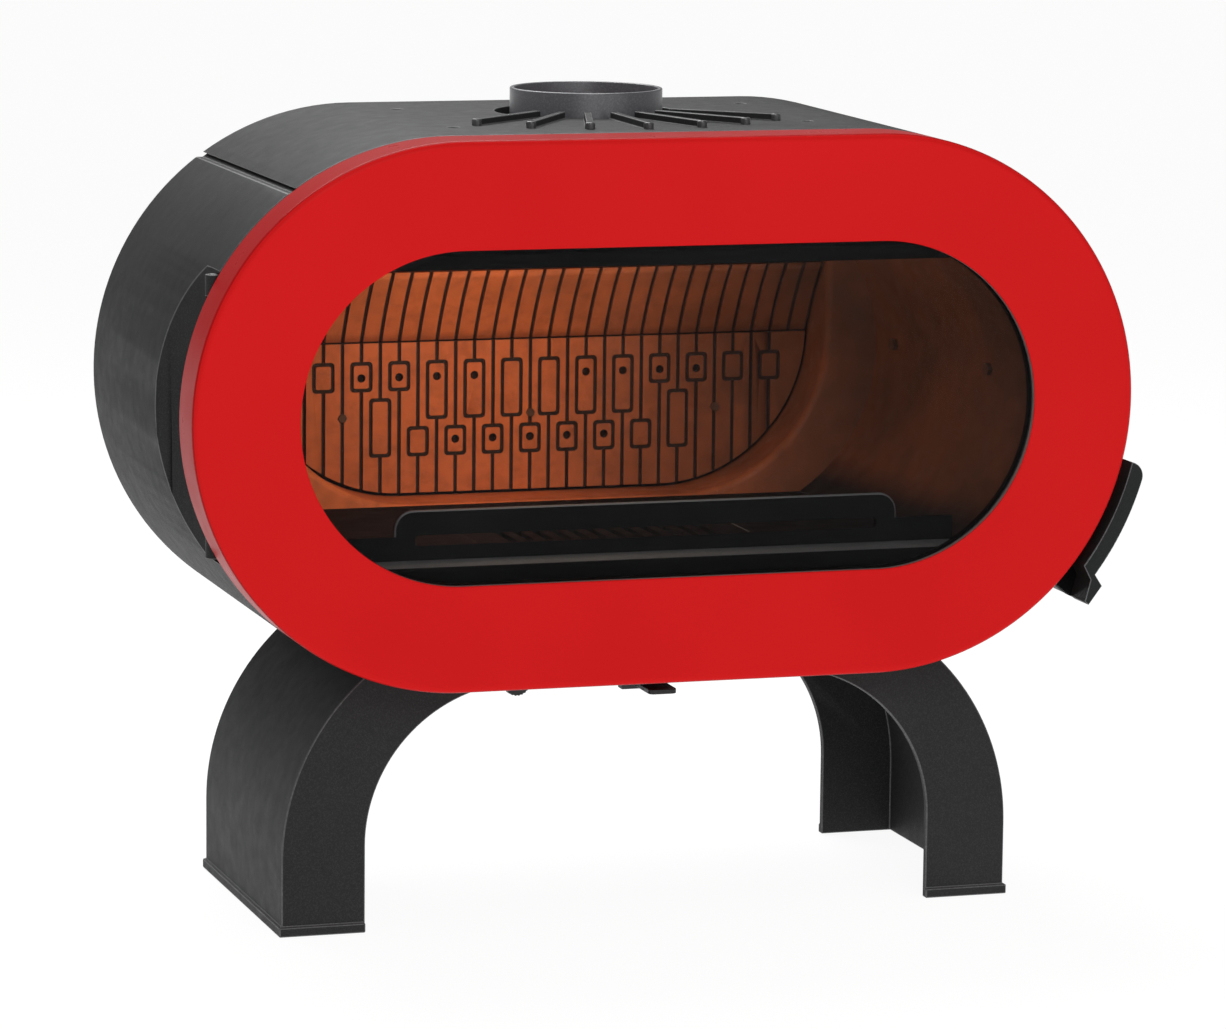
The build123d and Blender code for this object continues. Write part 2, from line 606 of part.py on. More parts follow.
with BuildPart() as fireback_upper:
    extrude(leaning_strip(0, UPPER_THICKNESS), amount=upper_width / 2, both=True)
    groove = extrude(leaning_strip(-1, GROOVE_DEPTH), amount=GROOVE_WIDTH / 2, both=True, mode=Mode.PRIVATE)
    with GridLocations(GROOVE_PITCH, 0, 2 * GROOVE_COUNT + 1, 1):
        add(groove, mode=Mode.SUBTRACT)
    rest_back = BOX_Y - REAR_BOX_WALL
    rest_front = FIREBACK_Y + UPPER_THICKNESS - 3
    for x in (-upper_width / 3, upper_width / 3):
        with Locations((x, (rest_front + rest_back) / 2, CENTRE_Z + upper_low + 9)):
            Box(14, rest_back - rest_front, 14)
save(fireback_upper, "fireback_upper")

# ---------------------------------------------------------------- baffle and air-wash bar
baffle_rear = FIREBACK_Y - UPPER_LEAN + UPPER_THICKNESS
baffle_low = upper_high + FIT_GAP
baffle_front = FRONT_Y + BAFFLE_FRONT

with BuildPart() as baffle_plate:
    with BuildSketch(sideways(0)):
        with BuildLine():
            Polyline(
                (baffle_front, BAFFLE_FRONT_HEIGHT),
                (baffle_rear, baffle_low),
                (baffle_rear, baffle_low + BAFFLE_THICKNESS),
                (baffle_front, BAFFLE_FRONT_HEIGHT + BAFFLE_THICKNESS),
                close=True,
            )
        make_face()
    extrude(amount=BAFFLE_HALF, both=True)
save(baffle_plate, "baffle_plate")

with BuildPart() as air_wash_bar:
    bar_y = FRONT_Y + 2
    with BuildSketch(sideways(0)):
        with BuildLine():
            Polyline(
                (bar_y, FRAME_OPENING),
                (bar_y, WASH_BAR_BOTTOM + 16),
                (bar_y + WASH_BAR_DEPTH * 0.7, WASH_BAR_BOTTOM),
                (bar_y + WASH_BAR_DEPTH, WASH_BAR_BOTTOM),
                (bar_y + WASH_BAR_DEPTH, FRAME_OPENING),
                close=True,
            )
        make_face()
    extrude(amount=BODY_WIDTH / 2, both=True)
    add(firebox_room(FIT_GAP), mode=Mode.INTERSECT)
save(air_wash_bar, "air_wash_bar")

# ---------------------------------------------------------------- hearth
grate_y = MIDDLE_Y + 5
grate_seat = CENTRE_Z + HEARTH_HEIGHT - GRATE_THICKNESS

with BuildPart() as hearth_plate:
    with Locations((0, (LIP_Y + LIP_DEPTH + PLATE_Y) / 2, CENTRE_Z + HEARTH_HEIGHT)):
        top_side = (Align.CENTER, Align.CENTER, Align.MAX)
        Box(BODY_WIDTH, PLATE_Y - LIP_Y - LIP_DEPTH, HEARTH_THICKNESS, align=top_side)
    add(firebox_room(FIT_GAP), mode=Mode.INTERSECT)
    with Locations((0, grate_y, CENTRE_Z + HEARTH_HEIGHT)):
        Box(GRATE_LENGTH, GRATE_WIDTH, 2 * GRATE_THICKNESS, mode=Mode.SUBTRACT)
        Box(GRATE_LENGTH - 2 * GRATE_LEDGE, GRATE_WIDTH - 2 * GRATE_LEDGE, 60, mode=Mode.SUBTRACT)
save(hearth_plate, "hearth_plate")

with BuildPart() as fire_grate:
    with Locations((0, grate_y, grate_seat)):
        under_side = (Align.CENTER, Align.CENTER, Align.MIN)
        Box(GRATE_LENGTH - 1, GRATE_WIDTH - 1, GRATE_THICKNESS, align=under_side)
    with BuildSketch(Plane.XY.offset(grate_seat)):
        with Locations((0, grate_y)):
            with GridLocations(20, 84, 12, 2):
                SlotOverall(68, 9, rotation=90)
    extrude(amount=GRATE_THICKNESS, mode=Mode.SUBTRACT)
save(fire_grate, "fire_grate")

pan_slope = (FRAME_OPENING - LINER_REAR_RADIUS) / (PLATE_Y - liner_y)
pan_rear = grate_y + PAN_WIDTH / 2
pan_floor = CENTRE_Z - FRAME_OPENING + pan_slope * (pan_rear - liner_y) + FIT_GAP

with BuildPart() as ash_pan:
    with Locations((0, grate_y, pan_floor)):
        Box(PAN_LENGTH, PAN_WIDTH, PAN_HEIGHT, align=under_side)
    with Locations((0, grate_y, pan_floor + PAN_WALL)):
        Box(PAN_LENGTH - 2 * PAN_WALL, PAN_WIDTH - 2 * PAN_WALL, PAN_HEIGHT, align=under_side, mode=Mode.SUBTRACT)
save(ash_pan, "ash_pan")

with BuildPart() as hearth_lip:
    with BuildSketch(sideways(0)):
        with BuildLine():
            Polyline(
                (LIP_Y, -FRAME_OPENING),
                (LIP_Y, LIP_TOP - 5),
                (LIP_Y + 4, LIP_TOP - 3),
                (LIP_Y + 16, LIP_TOP),
                (LIP_Y + LIP_DEPTH, LIP_TOP),
                (LIP_Y + LIP_DEPTH, -FRAME_OPENING),
                close=True,
            )
        make_face()
    extrude(amount=BODY_WIDTH / 2, both=True)
    add(firebox_room(FIT_GAP), mode=Mode.INTERSECT)
save(hearth_lip, "hearth_lip")

with BuildPart() as log_guard:
    with BuildSketch(upright(GUARD_Y)):
        with Locations((0, (GUARD_WING_TOP + LIP_TOP) / 2)):
            Rectangle(2 * GUARD_WING_HALF, GUARD_WING_TOP - LIP_TOP)
        with Locations((0, (GUARD_TOP + LIP_TOP) / 2)):
            Rectangle(2 * GUARD_HALF, GUARD_TOP - LIP_TOP)
        fillet(vertices().group_by(Axis.Y)[-1], radius=20)
        with Locations((0, (GUARD_SLOT_TOP + GUARD_SLOT_BOTTOM) / 2)):
            slot_height = GUARD_SLOT_TOP - GUARD_SLOT_BOTTOM
            RectangleRounded(2 * GUARD_SLOT_HALF, slot_height, 4, mode=Mode.SUBTRACT)
    extrude(amount=-GUARD_THICKNESS)
    crown = log_guard.faces().filter_by(Axis.Z).sort_by(Axis.Z)[-1].edges().filter_by(Axis.X)
    fillet(crown, radius=2.5)
save(log_guard, "log_guard")

# ---------------------------------------------------------------- liner fixings
side_front_x = HALF_STRAIGHT + FRAME_OPENING
side_rear_x = LINER_REAR_HALF + LINER_REAR_RADIUS
liner_depth = PLATE_Y - liner_y
head_reach = LINER_BOLT_HEIGHT + LINER_BOLT_HEAD
wall_bow = LINER_REAR_RADIUS - sqrt(LINER_REAR_RADIUS**2 - head_reach**2)

with BuildPart() as liner_bolts:
    for setback in (LINER_BOLT_FRONT, LINER_BOLT_REAR):
        wall_x = side_front_x - (side_front_x - side_rear_x) * setback / liner_depth - wall_bow - FIT_GAP
        for side in (-1, 1):
            inward = (-side * liner_depth, side_rear_x - side_front_x, 0)
            place = Plane(origin=(side * wall_x, liner_y + setback, CENTRE_Z + LINER_BOLT_HEIGHT), z_dir=inward)
            with BuildSketch(place):
                RegularPolygon(LINER_BOLT_HEAD, 6)
            extrude(amount=5)
save(liner_bolts, "liner_bolts")

# ---------------------------------------------------------------- legs
def leg_outline(wall):
    """The leg seen from the front: an arched blade, trimmed by the body, inset by a wall."""
    with BuildSketch(upright(FRONT_Y + LEG_FRONT)) as outline:
        with BuildLine():
            outer_x = -(LEG_OUTER_X - wall)
            outer_radius = LEG_OUTER_RADIUS - wall
            crown = (outer_x + outer_radius, LEG_OUTER_ARC_Z + outer_radius)
            Line((outer_x, -CENTRE_Z - wall), (outer_x, LEG_OUTER_ARC_Z))
            TangentArc((outer_x, LEG_OUTER_ARC_Z), crown, tangent=(0, 1))
            inner_top = (-LEG_INNER_X + LEG_INNER_RADIUS, LEG_INNER_ARC_Z + LEG_INNER_RADIUS)
            Line(crown, inner_top)
            TangentArc(inner_top, (-LEG_INNER_X, LEG_INNER_ARC_Z), tangent=(-1, 0))
            Line((-LEG_INNER_X, LEG_INNER_ARC_Z), (-LEG_INNER_X, -CENTRE_Z - wall))
            Line((-LEG_INNER_X, -CENTRE_Z - wall), (outer_x, -CENTRE_Z - wall))
        make_face()
        room = END_RADIUS + FIT_GAP + (LEG_PLATE if wall else 0)
        SlotOverall(2 * (HALF_STRAIGHT + room), 2 * room, mode=Mode.SUBTRACT)
        with Locations((0, -END_RADIUS)):
            Rectangle(2 * LEG_SEAT_X, 40, mode=Mode.SUBTRACT)
    return outline.sketch


with BuildPart() as left_leg:
    extrude(leg_outline(0), amount=-LEG_DEPTH)
    foot_x = -(LEG_OUTER_X + LEG_INNER_X + FOOT_LIP) / 2
    with Locations((foot_x, leg_middle_y, FOOT_HEIGHT / 2)):
        Box(LEG_OUTER_X - LEG_INNER_X + FOOT_LIP, LEG_DEPTH + 2 * FOOT_LIP, FOOT_HEIGHT)
    hollow_depth = LEG_DEPTH - 2 * LEG_PLATE
    with BuildPart(mode=Mode.PRIVATE) as hollow:
        extrude(leg_outline(LEG_SIDE_WALL), amount=-hollow_depth)
    add(hollow.part.translate((0, LEG_PLATE, 0)), mode=Mode.SUBTRACT)
    with BuildSketch(Plane.XY.offset(UNDERSIDE_Z - 40)):
        with Locations(*[place for place in leg_bolts_at if place[0] < 0]):
            Circle(LEG_BOLT_RADIUS + RUN_GAP)
    extrude(amount=40, mode=Mode.SUBTRACT)
save(left_leg, "left_leg")

with BuildPart() as right_leg:
    add(left_leg.part.mirror(Plane.YZ))
save(right_leg, "right_leg")

with BuildPart() as leg_bolts:
    head_z = UNDERSIDE_Z - FIT_GAP - LEG_PLATE - 6.5
    with BuildSketch(Plane.XY.offset(head_z)):
        with Locations(*leg_bolts_at):
            RegularPolygon(9, 6)
    extrude(amount=6.5)
    with BuildSketch(Plane.XY.offset(head_z + 6.5)):
        with Locations(*leg_bolts_at):
            Circle(LEG_BOLT_RADIUS)
    extrude(amount=LEG_PLATE + FIT_GAP + SHELL_WALL)
    with BuildSketch(Plane.XY.offset(UNDERSIDE_Z + SHELL_WALL)):
        with Locations(*leg_bolts_at):
            RegularPolygon(9, 6)
    extrude(amount=8)
save(leg_bolts, "leg_bolts")

# ---------------------------------------------------------------- door
lug_front = FACE_Y + HANDLE_DEPTH + 1


def radial_strip(y, near, far, width, depth, rounded=False):
    """A strip that runs outward from the right end's centre, at the latch pivot's angle."""
    with BuildPart() as strip:
        with BuildSketch(Plane(origin=(HALF_STRAIGHT, y, CENTRE_Z), x_dir=(1, 0, 0), z_dir=(0, -1, 0))):
            with Locations(Location((0, 0, 0), (0, 0, PIVOT_ANGLE))):
                with Locations(((near + far) / 2, 0)):
                    Rectangle(far - near, width)
                if rounded:
                    with Locations((far, 0)):
                        Circle(width / 2)
        extrude(amount=-depth)
    return strip.part


with BuildPart() as door_facade:
    extrude(stadium(FACE_Y, END_RADIUS), amount=-DOOR_DEPTH)
    fillet(door_facade.faces().sort_by(Axis.Y)[0].edges(), radius=FACE_ROUND)
    inside = DOOR_DEPTH - FACADE_THICKNESS
    extrude(stadium(FACE_Y + FACADE_THICKNESS, END_RADIUS - RIM_WALL), amount=-inside, mode=Mode.SUBTRACT)
    extrude(stadium(FACE_Y, WINDOW_RADIUS), amount=-DOOR_DEPTH, mode=Mode.SUBTRACT)
    fillet(door_facade.faces().sort_by(Axis.Y)[0].inner_wires()[0].edges(), radius=WINDOW_ROUND)
    notch_front = lug_front - 1
    notch_depth = FACE_Y + DOOR_DEPTH - notch_front
    add(radial_strip(notch_front, INNER - 20, END_RADIUS + 20, LUG_WIDTH + 2, notch_depth), mode=Mode.SUBTRACT)
save(door_facade, "door_facade")

with BuildPart() as window_glass:
    extrude(stadium(GLASS_Y, WINDOW_RADIUS + GLASS_LAP), amount=-GLASS_THICKNESS)
save(window_glass, "window_glass")

with BuildPart() as glass_gaskets:
    gasket = (WINDOW_RADIUS + GLASS_LAP, WINDOW_RADIUS + 2)
    extrude(stadium(GLASS_Y - GASKET_THICKNESS, *gasket), amount=-GASKET_THICKNESS)
    extrude(stadium(GLASS_Y + GLASS_THICKNESS, *gasket), amount=-GASKET_THICKNESS)
save(glass_gaskets, "glass_gaskets")

screw_ring = (WINDOW_RADIUS + GLASS_LAP + FRAME_OPENING) / 2
screw_corner = screw_ring * sqrt(0.5)
door_screw_places = [(x, z) for x in (-HALF_STRAIGHT, 0, HALF_STRAIGHT) for z in (-screw_ring, screw_ring)]
door_screw_places += [(sx * (HALF_STRAIGHT + screw_ring), 0) for sx in (-1, 1)]

with BuildPart() as door_frame:
    extrude(stadium(FRAME_Y, END_RADIUS - RIM_WALL - 1, WINDOW_RADIUS), amount=-FRAME_PLATE)
    wall_depth = ROPE_Y - FRAME_Y
    extrude(stadium(FRAME_Y, FRAME_OPENING + SEAL_WALL, FRAME_OPENING), amount=-wall_depth)
    add(radial_strip(lug_front, FRAME_OPENING + SEAL_WALL - 2, END_RADIUS + PIVOT_OUT, LUG_WIDTH, LUG_THICKNESS, True))
    with Locations((PIVOT_X, lug_front + LUG_THICKNESS / 2, CENTRE_Z + PIVOT_Z)):
        Cylinder(LATCH_SHAFT_RADIUS + RUN_GAP, LUG_THICKNESS + 2, rotation=(90, 0, 0), mode=Mode.SUBTRACT)
    arm_middle = HINGE_LUG_TOP - HINGE_LUG_HEIGHT - WASHER_GAP - HINGE_ARM_HEIGHT / 2
    arm_length = HINGE_Y - FRAME_Y
    for side in (-1, 1):
        with Locations((HINGE_X + 1, FRAME_Y + arm_length / 2, CENTRE_Z + side * arm_middle)):
            Box(HINGE_WEB, arm_length, HINGE_ARM_HEIGHT)
        with Locations((HINGE_X, HINGE_Y, CENTRE_Z + side * arm_middle)):
            Cylinder(HINGE_ARM_RADIUS, HINGE_ARM_HEIGHT)
            Cylinder(HINGE_PIN_RADIUS + RUN_GAP, HINGE_ARM_HEIGHT + 2, mode=Mode.SUBTRACT)
    with BuildSketch(upright(FRAME_Y)):
        with Locations(*door_screw_places):
            Circle(DOOR_SCREW_RADIUS)
    extrude(amount=-FRAME_PLATE, mode=Mode.SUBTRACT)
save(door_frame, "door_frame")

with BuildPart() as door_screws:
    shank = FRAME_Y - FACE_Y - FACADE_THICKNESS + FRAME_PLATE
    with BuildSketch(upright(FACE_Y + FACADE_THICKNESS)):
        with Locations(*door_screw_places):
            Circle(DOOR_SCREW_RADIUS)
    extrude(amount=-shank)
    with BuildSketch(upright(FRAME_Y + FRAME_PLATE)):
        with Locations(*door_screw_places):
            RegularPolygon(5.5, 6)
    extrude(amount=-4.5)
save(door_screws, "door_screws")

with BuildPart() as door_rope_seal:
    half_rope = ROPE_WIDTH / 2
    extrude(stadium(ROPE_Y, ROPE_RADIUS + half_rope, ROPE_RADIUS - half_rope), amount=-ROPE_WIDTH)
    flat_faces = door_rope_seal.faces().filter_by(Axis.Y)
    fillet(flat_faces.edges(), radius=half_rope - 0.8)
save(door_rope_seal, "door_rope_seal")

with BuildPart() as hinge_pins:
    pin_length = HINGE_LUG_HEIGHT + WASHER_GAP + HINGE_ARM_HEIGHT
    pin_middle = HINGE_LUG_TOP - pin_length / 2
    for side in (-1, 1):
        with Locations((HINGE_X, HINGE_Y, CENTRE_Z + side * pin_middle)):
            Cylinder(HINGE_PIN_RADIUS, pin_length)
save(hinge_pins, "hinge_pins")

# ---------------------------------------------------------------- handle and latch
grip_in = END_RADIUS + HANDLE_IN
grip_out = grip_in + HANDLE_THICKNESS


def around_end(radius, angle):
    """A point on a circle about the centre of the body's right end."""
    return (HALF_STRAIGHT + radius * cos(radians(angle)), radius * sin(radians(angle)))


with BuildPart() as door_handle:
    with BuildSketch(upright(FACE_Y)):
        with BuildLine():
            mid = (HANDLE_TOP_ANGLE + HANDLE_END_ANGLE) / 2
            top_in, mid_in, end_in = (around_end(grip_in, a) for a in (HANDLE_TOP_ANGLE, mid, HANDLE_END_ANGLE))
            top_out, mid_out, end_out = (around_end(grip_out, a) for a in (HANDLE_TOP_ANGLE, mid, HANDLE_END_ANGLE))
            ThreePointArc(top_in, mid_in, end_in)
            heel = (PIVOT_X - 3, PIVOT_Z + 9)
            foot_left = (PIVOT_X - 9, PIVOT_Z - 14)
            foot_right = (PIVOT_X - 4.5, PIVOT_Z - 17.5)
            nib = (PIVOT_X + 10, PIVOT_Z + 2)
            Polyline(end_in, heel, foot_left, foot_right, nib, end_out)
            ThreePointArc(end_out, mid_out, top_out)
            Line(top_out, top_in)
        make_face()
        tip = vertices().sort_by(Axis.Y)[-2:]
        fillet(tip.sort_by(Axis.X)[-1], radius=HANDLE_TOP_ROUND)
    extrude(amount=-HANDLE_DEPTH)
    fillet(door_handle.faces().sort_by(Axis.Y)[0].edges(), radius=HANDLE_EDGE_ROUND)
    shaft_start = FACE_Y + 8
    with BuildSketch(Plane(origin=(PIVOT_X, shaft_start, CENTRE_Z + PIVOT_Z), x_dir=(1, 0, 0), z_dir=(0, -1, 0))):
        Circle(LATCH_SHAFT_RADIUS)
    extrude(amount=-HANDLE_DEPTH, mode=Mode.SUBTRACT)
save(door_handle, "door_handle")

tongue_y = FACE_Y + DOOR_DEPTH + LATCH_SETBACK
hub_front = lug_front + LUG_THICKNESS + 1
hub_back = tongue_y + TONGUE_THICKNESS

with BuildPart() as latch_shaft:
    with BuildSketch(Plane(origin=(PIVOT_X, shaft_start, CENTRE_Z + PIVOT_Z), x_dir=(1, 0, 0), z_dir=(0, -1, 0))):
        Circle(LATCH_SHAFT_RADIUS)
    extrude(amount=-(hub_back + 3 - shaft_start))
save(latch_shaft, "latch_shaft")

with BuildPart() as latch_tongue:
    pivot_plane = Plane(origin=(PIVOT_X, hub_front, CENTRE_Z + PIVOT_Z), x_dir=(1, 0, 0), z_dir=(0, -1, 0))
    with BuildSketch(pivot_plane):
        Circle(TONGUE_HUB_RADIUS)
    extrude(amount=-(hub_back - hub_front))
    with BuildSketch(pivot_plane.offset(-(tongue_y - hub_front))):
        with Locations(Location((0, 0, 0), (0, 0, TONGUE_ANGLE))):
            with Locations((TONGUE_LENGTH / 2, 0)):
                SlotOverall(TONGUE_LENGTH + TONGUE_WIDTH, TONGUE_WIDTH)
    extrude(amount=-TONGUE_THICKNESS)
    with BuildSketch(pivot_plane):
        Circle(LATCH_SHAFT_RADIUS)
    extrude(amount=-(hub_back - hub_front), mode=Mode.SUBTRACT)
save(latch_tongue, "latch_tongue")

with BuildPart() as latch_keeper:
    keeper_y = FRONT_Y + 6
    keeper_in = END_RADIUS + 0.2
    extrude(stadium(keeper_y, END_RADIUS + 4, keeper_in), amount=-34)
    extrude(stadium(keeper_y, END_RADIUS + KEEPER_LIFT, keeper_in), amount=-6)
    tip_angle = PIVOT_ANGLE + 7
    keeper_x, keeper_z = around_end(END_RADIUS, tip_angle)
    with Locations((keeper_x, keeper_y + 17, CENTRE_Z + keeper_z)):
        Box(60, 60, 50, mode=Mode.INTERSECT)
save(latch_keeper, "latch_keeper")

# ---------------------------------------------------------------- air controls
lever_top = UNDERSIDE_Z - LEVER_DROP
lever_tip_y = FACE_Y + LEVER_TIP
shutter_rear = air_box_y + AIR_BOX_LENGTH - AIR_BOX_WALL - 6

with BuildPart() as air_lever:
    with BuildSketch(Plane.XY.offset(lever_top - LEVER_THICKNESS)):
        with Locations((0, (lever_tip_y + shutter_rear) / 2)):
            Rectangle(LEVER_WIDTH, shutter_rear - lever_tip_y)
        fillet(vertices().group_by(Axis.Y)[0], radius=6)
        with Locations((0, shutter_rear - SHUTTER_LENGTH / 2)):
            Rectangle(SHUTTER_WIDTH, SHUTTER_LENGTH)
    extrude(amount=LEVER_THICKNESS)
save(air_lever, "air_lever")

with BuildPart() as lever_guide:
    guide_y = FRONT_Y + GUIDE_BACK
    guide_bottom = lever_top - LEVER_THICKNESS - GUIDE_GAP - 5
    with Locations((0, guide_y, (UNDERSIDE_Z + guide_bottom) / 2)):
        Box(LEVER_WIDTH + 20, GUIDE_THICKNESS, UNDERSIDE_Z - guide_bottom)
    with Locations((0, guide_y, lever_top - LEVER_THICKNESS / 2)):
        Box(LEVER_WIDTH + 2 * GUIDE_GAP, 40, LEVER_THICKNESS + 2 * GUIDE_GAP, mode=Mode.SUBTRACT)
save(lever_guide, "lever_guide")

knob_z = UNDERSIDE_Z - KNOB_DROP
box_length_y = air_box_y + AIR_BOX_LENGTH / 2

with BuildPart() as air_box:
    box_width = AIR_BOX_RIGHT - AIR_BOX_LEFT
    with Locations((air_box_x, box_length_y, UNDERSIDE_Z)):
        top_side = (Align.CENTER, Align.CENTER, Align.MAX)
        Box(box_width, AIR_BOX_LENGTH, AIR_BOX_HEIGHT, align=top_side)
        inner = (box_width - 2 * AIR_BOX_WALL, AIR_BOX_LENGTH - 2 * AIR_BOX_WALL, AIR_BOX_HEIGHT - AIR_BOX_WALL)
        Box(*inner, align=top_side, mode=Mode.SUBTRACT)
    with Locations((0, air_box_y, lever_top - LEVER_THICKNESS / 2)):
        Box(LEVER_WIDTH + 2 * GUIDE_GAP, 40, LEVER_THICKNESS + 2 * GUIDE_GAP, mode=Mode.SUBTRACT)
    valve_plane = Plane(origin=(KNOB_X, air_box_y + AIR_BOX_WALL, knob_z), x_dir=(1, 0, 0), z_dir=(0, -1, 0))
    with BuildSketch(valve_plane):
        Circle(VALVE_SHAFT_RADIUS + 5)
    extrude(amount=16)
    with BuildSketch(valve_plane):
        Circle(VALVE_SHAFT_RADIUS + RUN_GAP)
    extrude(amount=16, mode=Mode.SUBTRACT)
    with BuildSketch(Plane.XY.offset(UNDERSIDE_Z - AIR_BOX_HEIGHT)):
        with Locations((air_box_x - 20, box_length_y)):
            with GridLocations(30, 0, 4, 1):
                SlotOverall(AIR_BOX_LENGTH * 0.5, 12, rotation=90)
    extrude(amount=AIR_BOX_WALL, mode=Mode.SUBTRACT)
save(air_box, "air_box")

knob_y = FRONT_Y + KNOB_BACK
flap_y = air_box_y + AIR_BOX_WALL + 8

with BuildPart() as air_knob:
    knob_plane = Plane(origin=(KNOB_X, knob_y, knob_z), x_dir=(1, 0, 0), z_dir=(0, -1, 0))
    with BuildSketch(knob_plane):
        Circle(KNOB_RADIUS)
    extrude(amount=-KNOB_LENGTH)
    fillet(air_knob.faces().filter_by(Axis.Y).edges(), radius=2)
    with BuildSketch(knob_plane.offset(-KNOB_LENGTH / 2)):
        Circle(VALVE_SHAFT_RADIUS)
    extrude(amount=-KNOB_LENGTH, mode=Mode.SUBTRACT)
save(air_knob, "air_knob")

with BuildPart() as valve_shaft:
    with BuildSketch(knob_plane.offset(-KNOB_LENGTH / 2)):
        Circle(VALVE_SHAFT_RADIUS)
    extrude(amount=-(flap_y + FLAP_LENGTH - knob_y - KNOB_LENGTH / 2))
    with Locations((KNOB_X, flap_y + FLAP_LENGTH / 2, knob_z)):
        Box(FLAP_WIDTH, FLAP_LENGTH, FLAP_THICKNESS)
save(valve_shaft, "valve_shaft")
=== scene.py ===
"""Looks of a wide cast-iron room stove: red enamelled door ring, black body, browned firebox."""
from __future__ import annotations

import logging
import math
from dataclasses import dataclass, field
from enum import Enum

import bmesh
import bpy
from mathutils import Matrix, Vector

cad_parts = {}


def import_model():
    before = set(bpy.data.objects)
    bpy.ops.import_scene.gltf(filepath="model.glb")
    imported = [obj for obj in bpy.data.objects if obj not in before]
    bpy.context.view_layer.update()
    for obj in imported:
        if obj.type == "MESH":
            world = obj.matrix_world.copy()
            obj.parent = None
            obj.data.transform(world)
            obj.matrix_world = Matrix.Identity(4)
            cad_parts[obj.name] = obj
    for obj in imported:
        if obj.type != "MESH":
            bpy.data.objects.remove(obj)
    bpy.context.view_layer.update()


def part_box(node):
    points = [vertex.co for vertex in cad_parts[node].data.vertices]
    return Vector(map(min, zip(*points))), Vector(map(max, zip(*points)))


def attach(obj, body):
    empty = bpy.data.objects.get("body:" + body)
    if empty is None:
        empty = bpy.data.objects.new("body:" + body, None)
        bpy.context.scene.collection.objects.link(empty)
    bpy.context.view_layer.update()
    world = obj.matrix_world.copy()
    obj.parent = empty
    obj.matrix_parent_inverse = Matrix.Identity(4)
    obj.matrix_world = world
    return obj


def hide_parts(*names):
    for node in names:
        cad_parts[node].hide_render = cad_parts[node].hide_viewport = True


LOG = logging.getLogger("stove")
Colour = tuple[float, float, float, float]
Point = tuple[float, float, float]
Socket = bpy.types.NodeSocket

NOISE_LOW, NOISE_HIGH = 0.3, 0.7  # most of a noise's values lie between these
WELD = 1e-6  # vertices nearer than this, in metres, are one
RING_WELD = 1e-5  # the same for the ends of a swept ring
FLAT = math.radians(0.5)  # faces that turn less than this are one
ALONG_AXIS = 0.9  # a face with this much of an axis in its normal faces along it
BIG_LAMP = 1.0  # lamps larger than this, in metres, show in glossy surfaces


class Slot(Enum):
    """The record's material slots, then this script's own variants of them."""

    BODY = "body_iron"
    ENAMEL = "red_enamel"
    GLASS = "stove_glass"
    ROPE = "gasket_fibre"
    FIRE = "fire_iron"
    SHEET = "sheet_steel"
    BLACK = "black_steel"
    HANDLE = "black_satin"
    STEEL = "bare_steel"
    FIRE_STEEL = "fire_steel"

    HEARTH = "hearth_iron"
    COLLAR = "collar_iron"
    FIREBACK = "fireback_iron"
    LINER = "liner_iron"
    CROWN = "fireback_crown_iron"
    REAR = "rear_iron"
    BODY_EDGE = "body_edge"
    HEARTH_EDGE = "hearth_edge"
    HANDLE_EDGE = "handle_edge"
    WINDOW_EDGE = "window_edge"
    SHADED_RIM = "shaded_rim_enamel"
    HEAD = "fin_head_iron"


# Lighter finish of the edges of each painted slot: partly wear, partly painted highlight.
WORN_AND_HIGHLIT = {
    Slot.BODY: Slot.BODY_EDGE,
    Slot.HEARTH: Slot.HEARTH_EDGE,
    Slot.HANDLE: Slot.HANDLE_EDGE,
}


# ---------------------------------------------------------------- finishes
def grey(value: float) -> Colour:
    """An opaque grey."""
    return (value, value, value, 1.0)


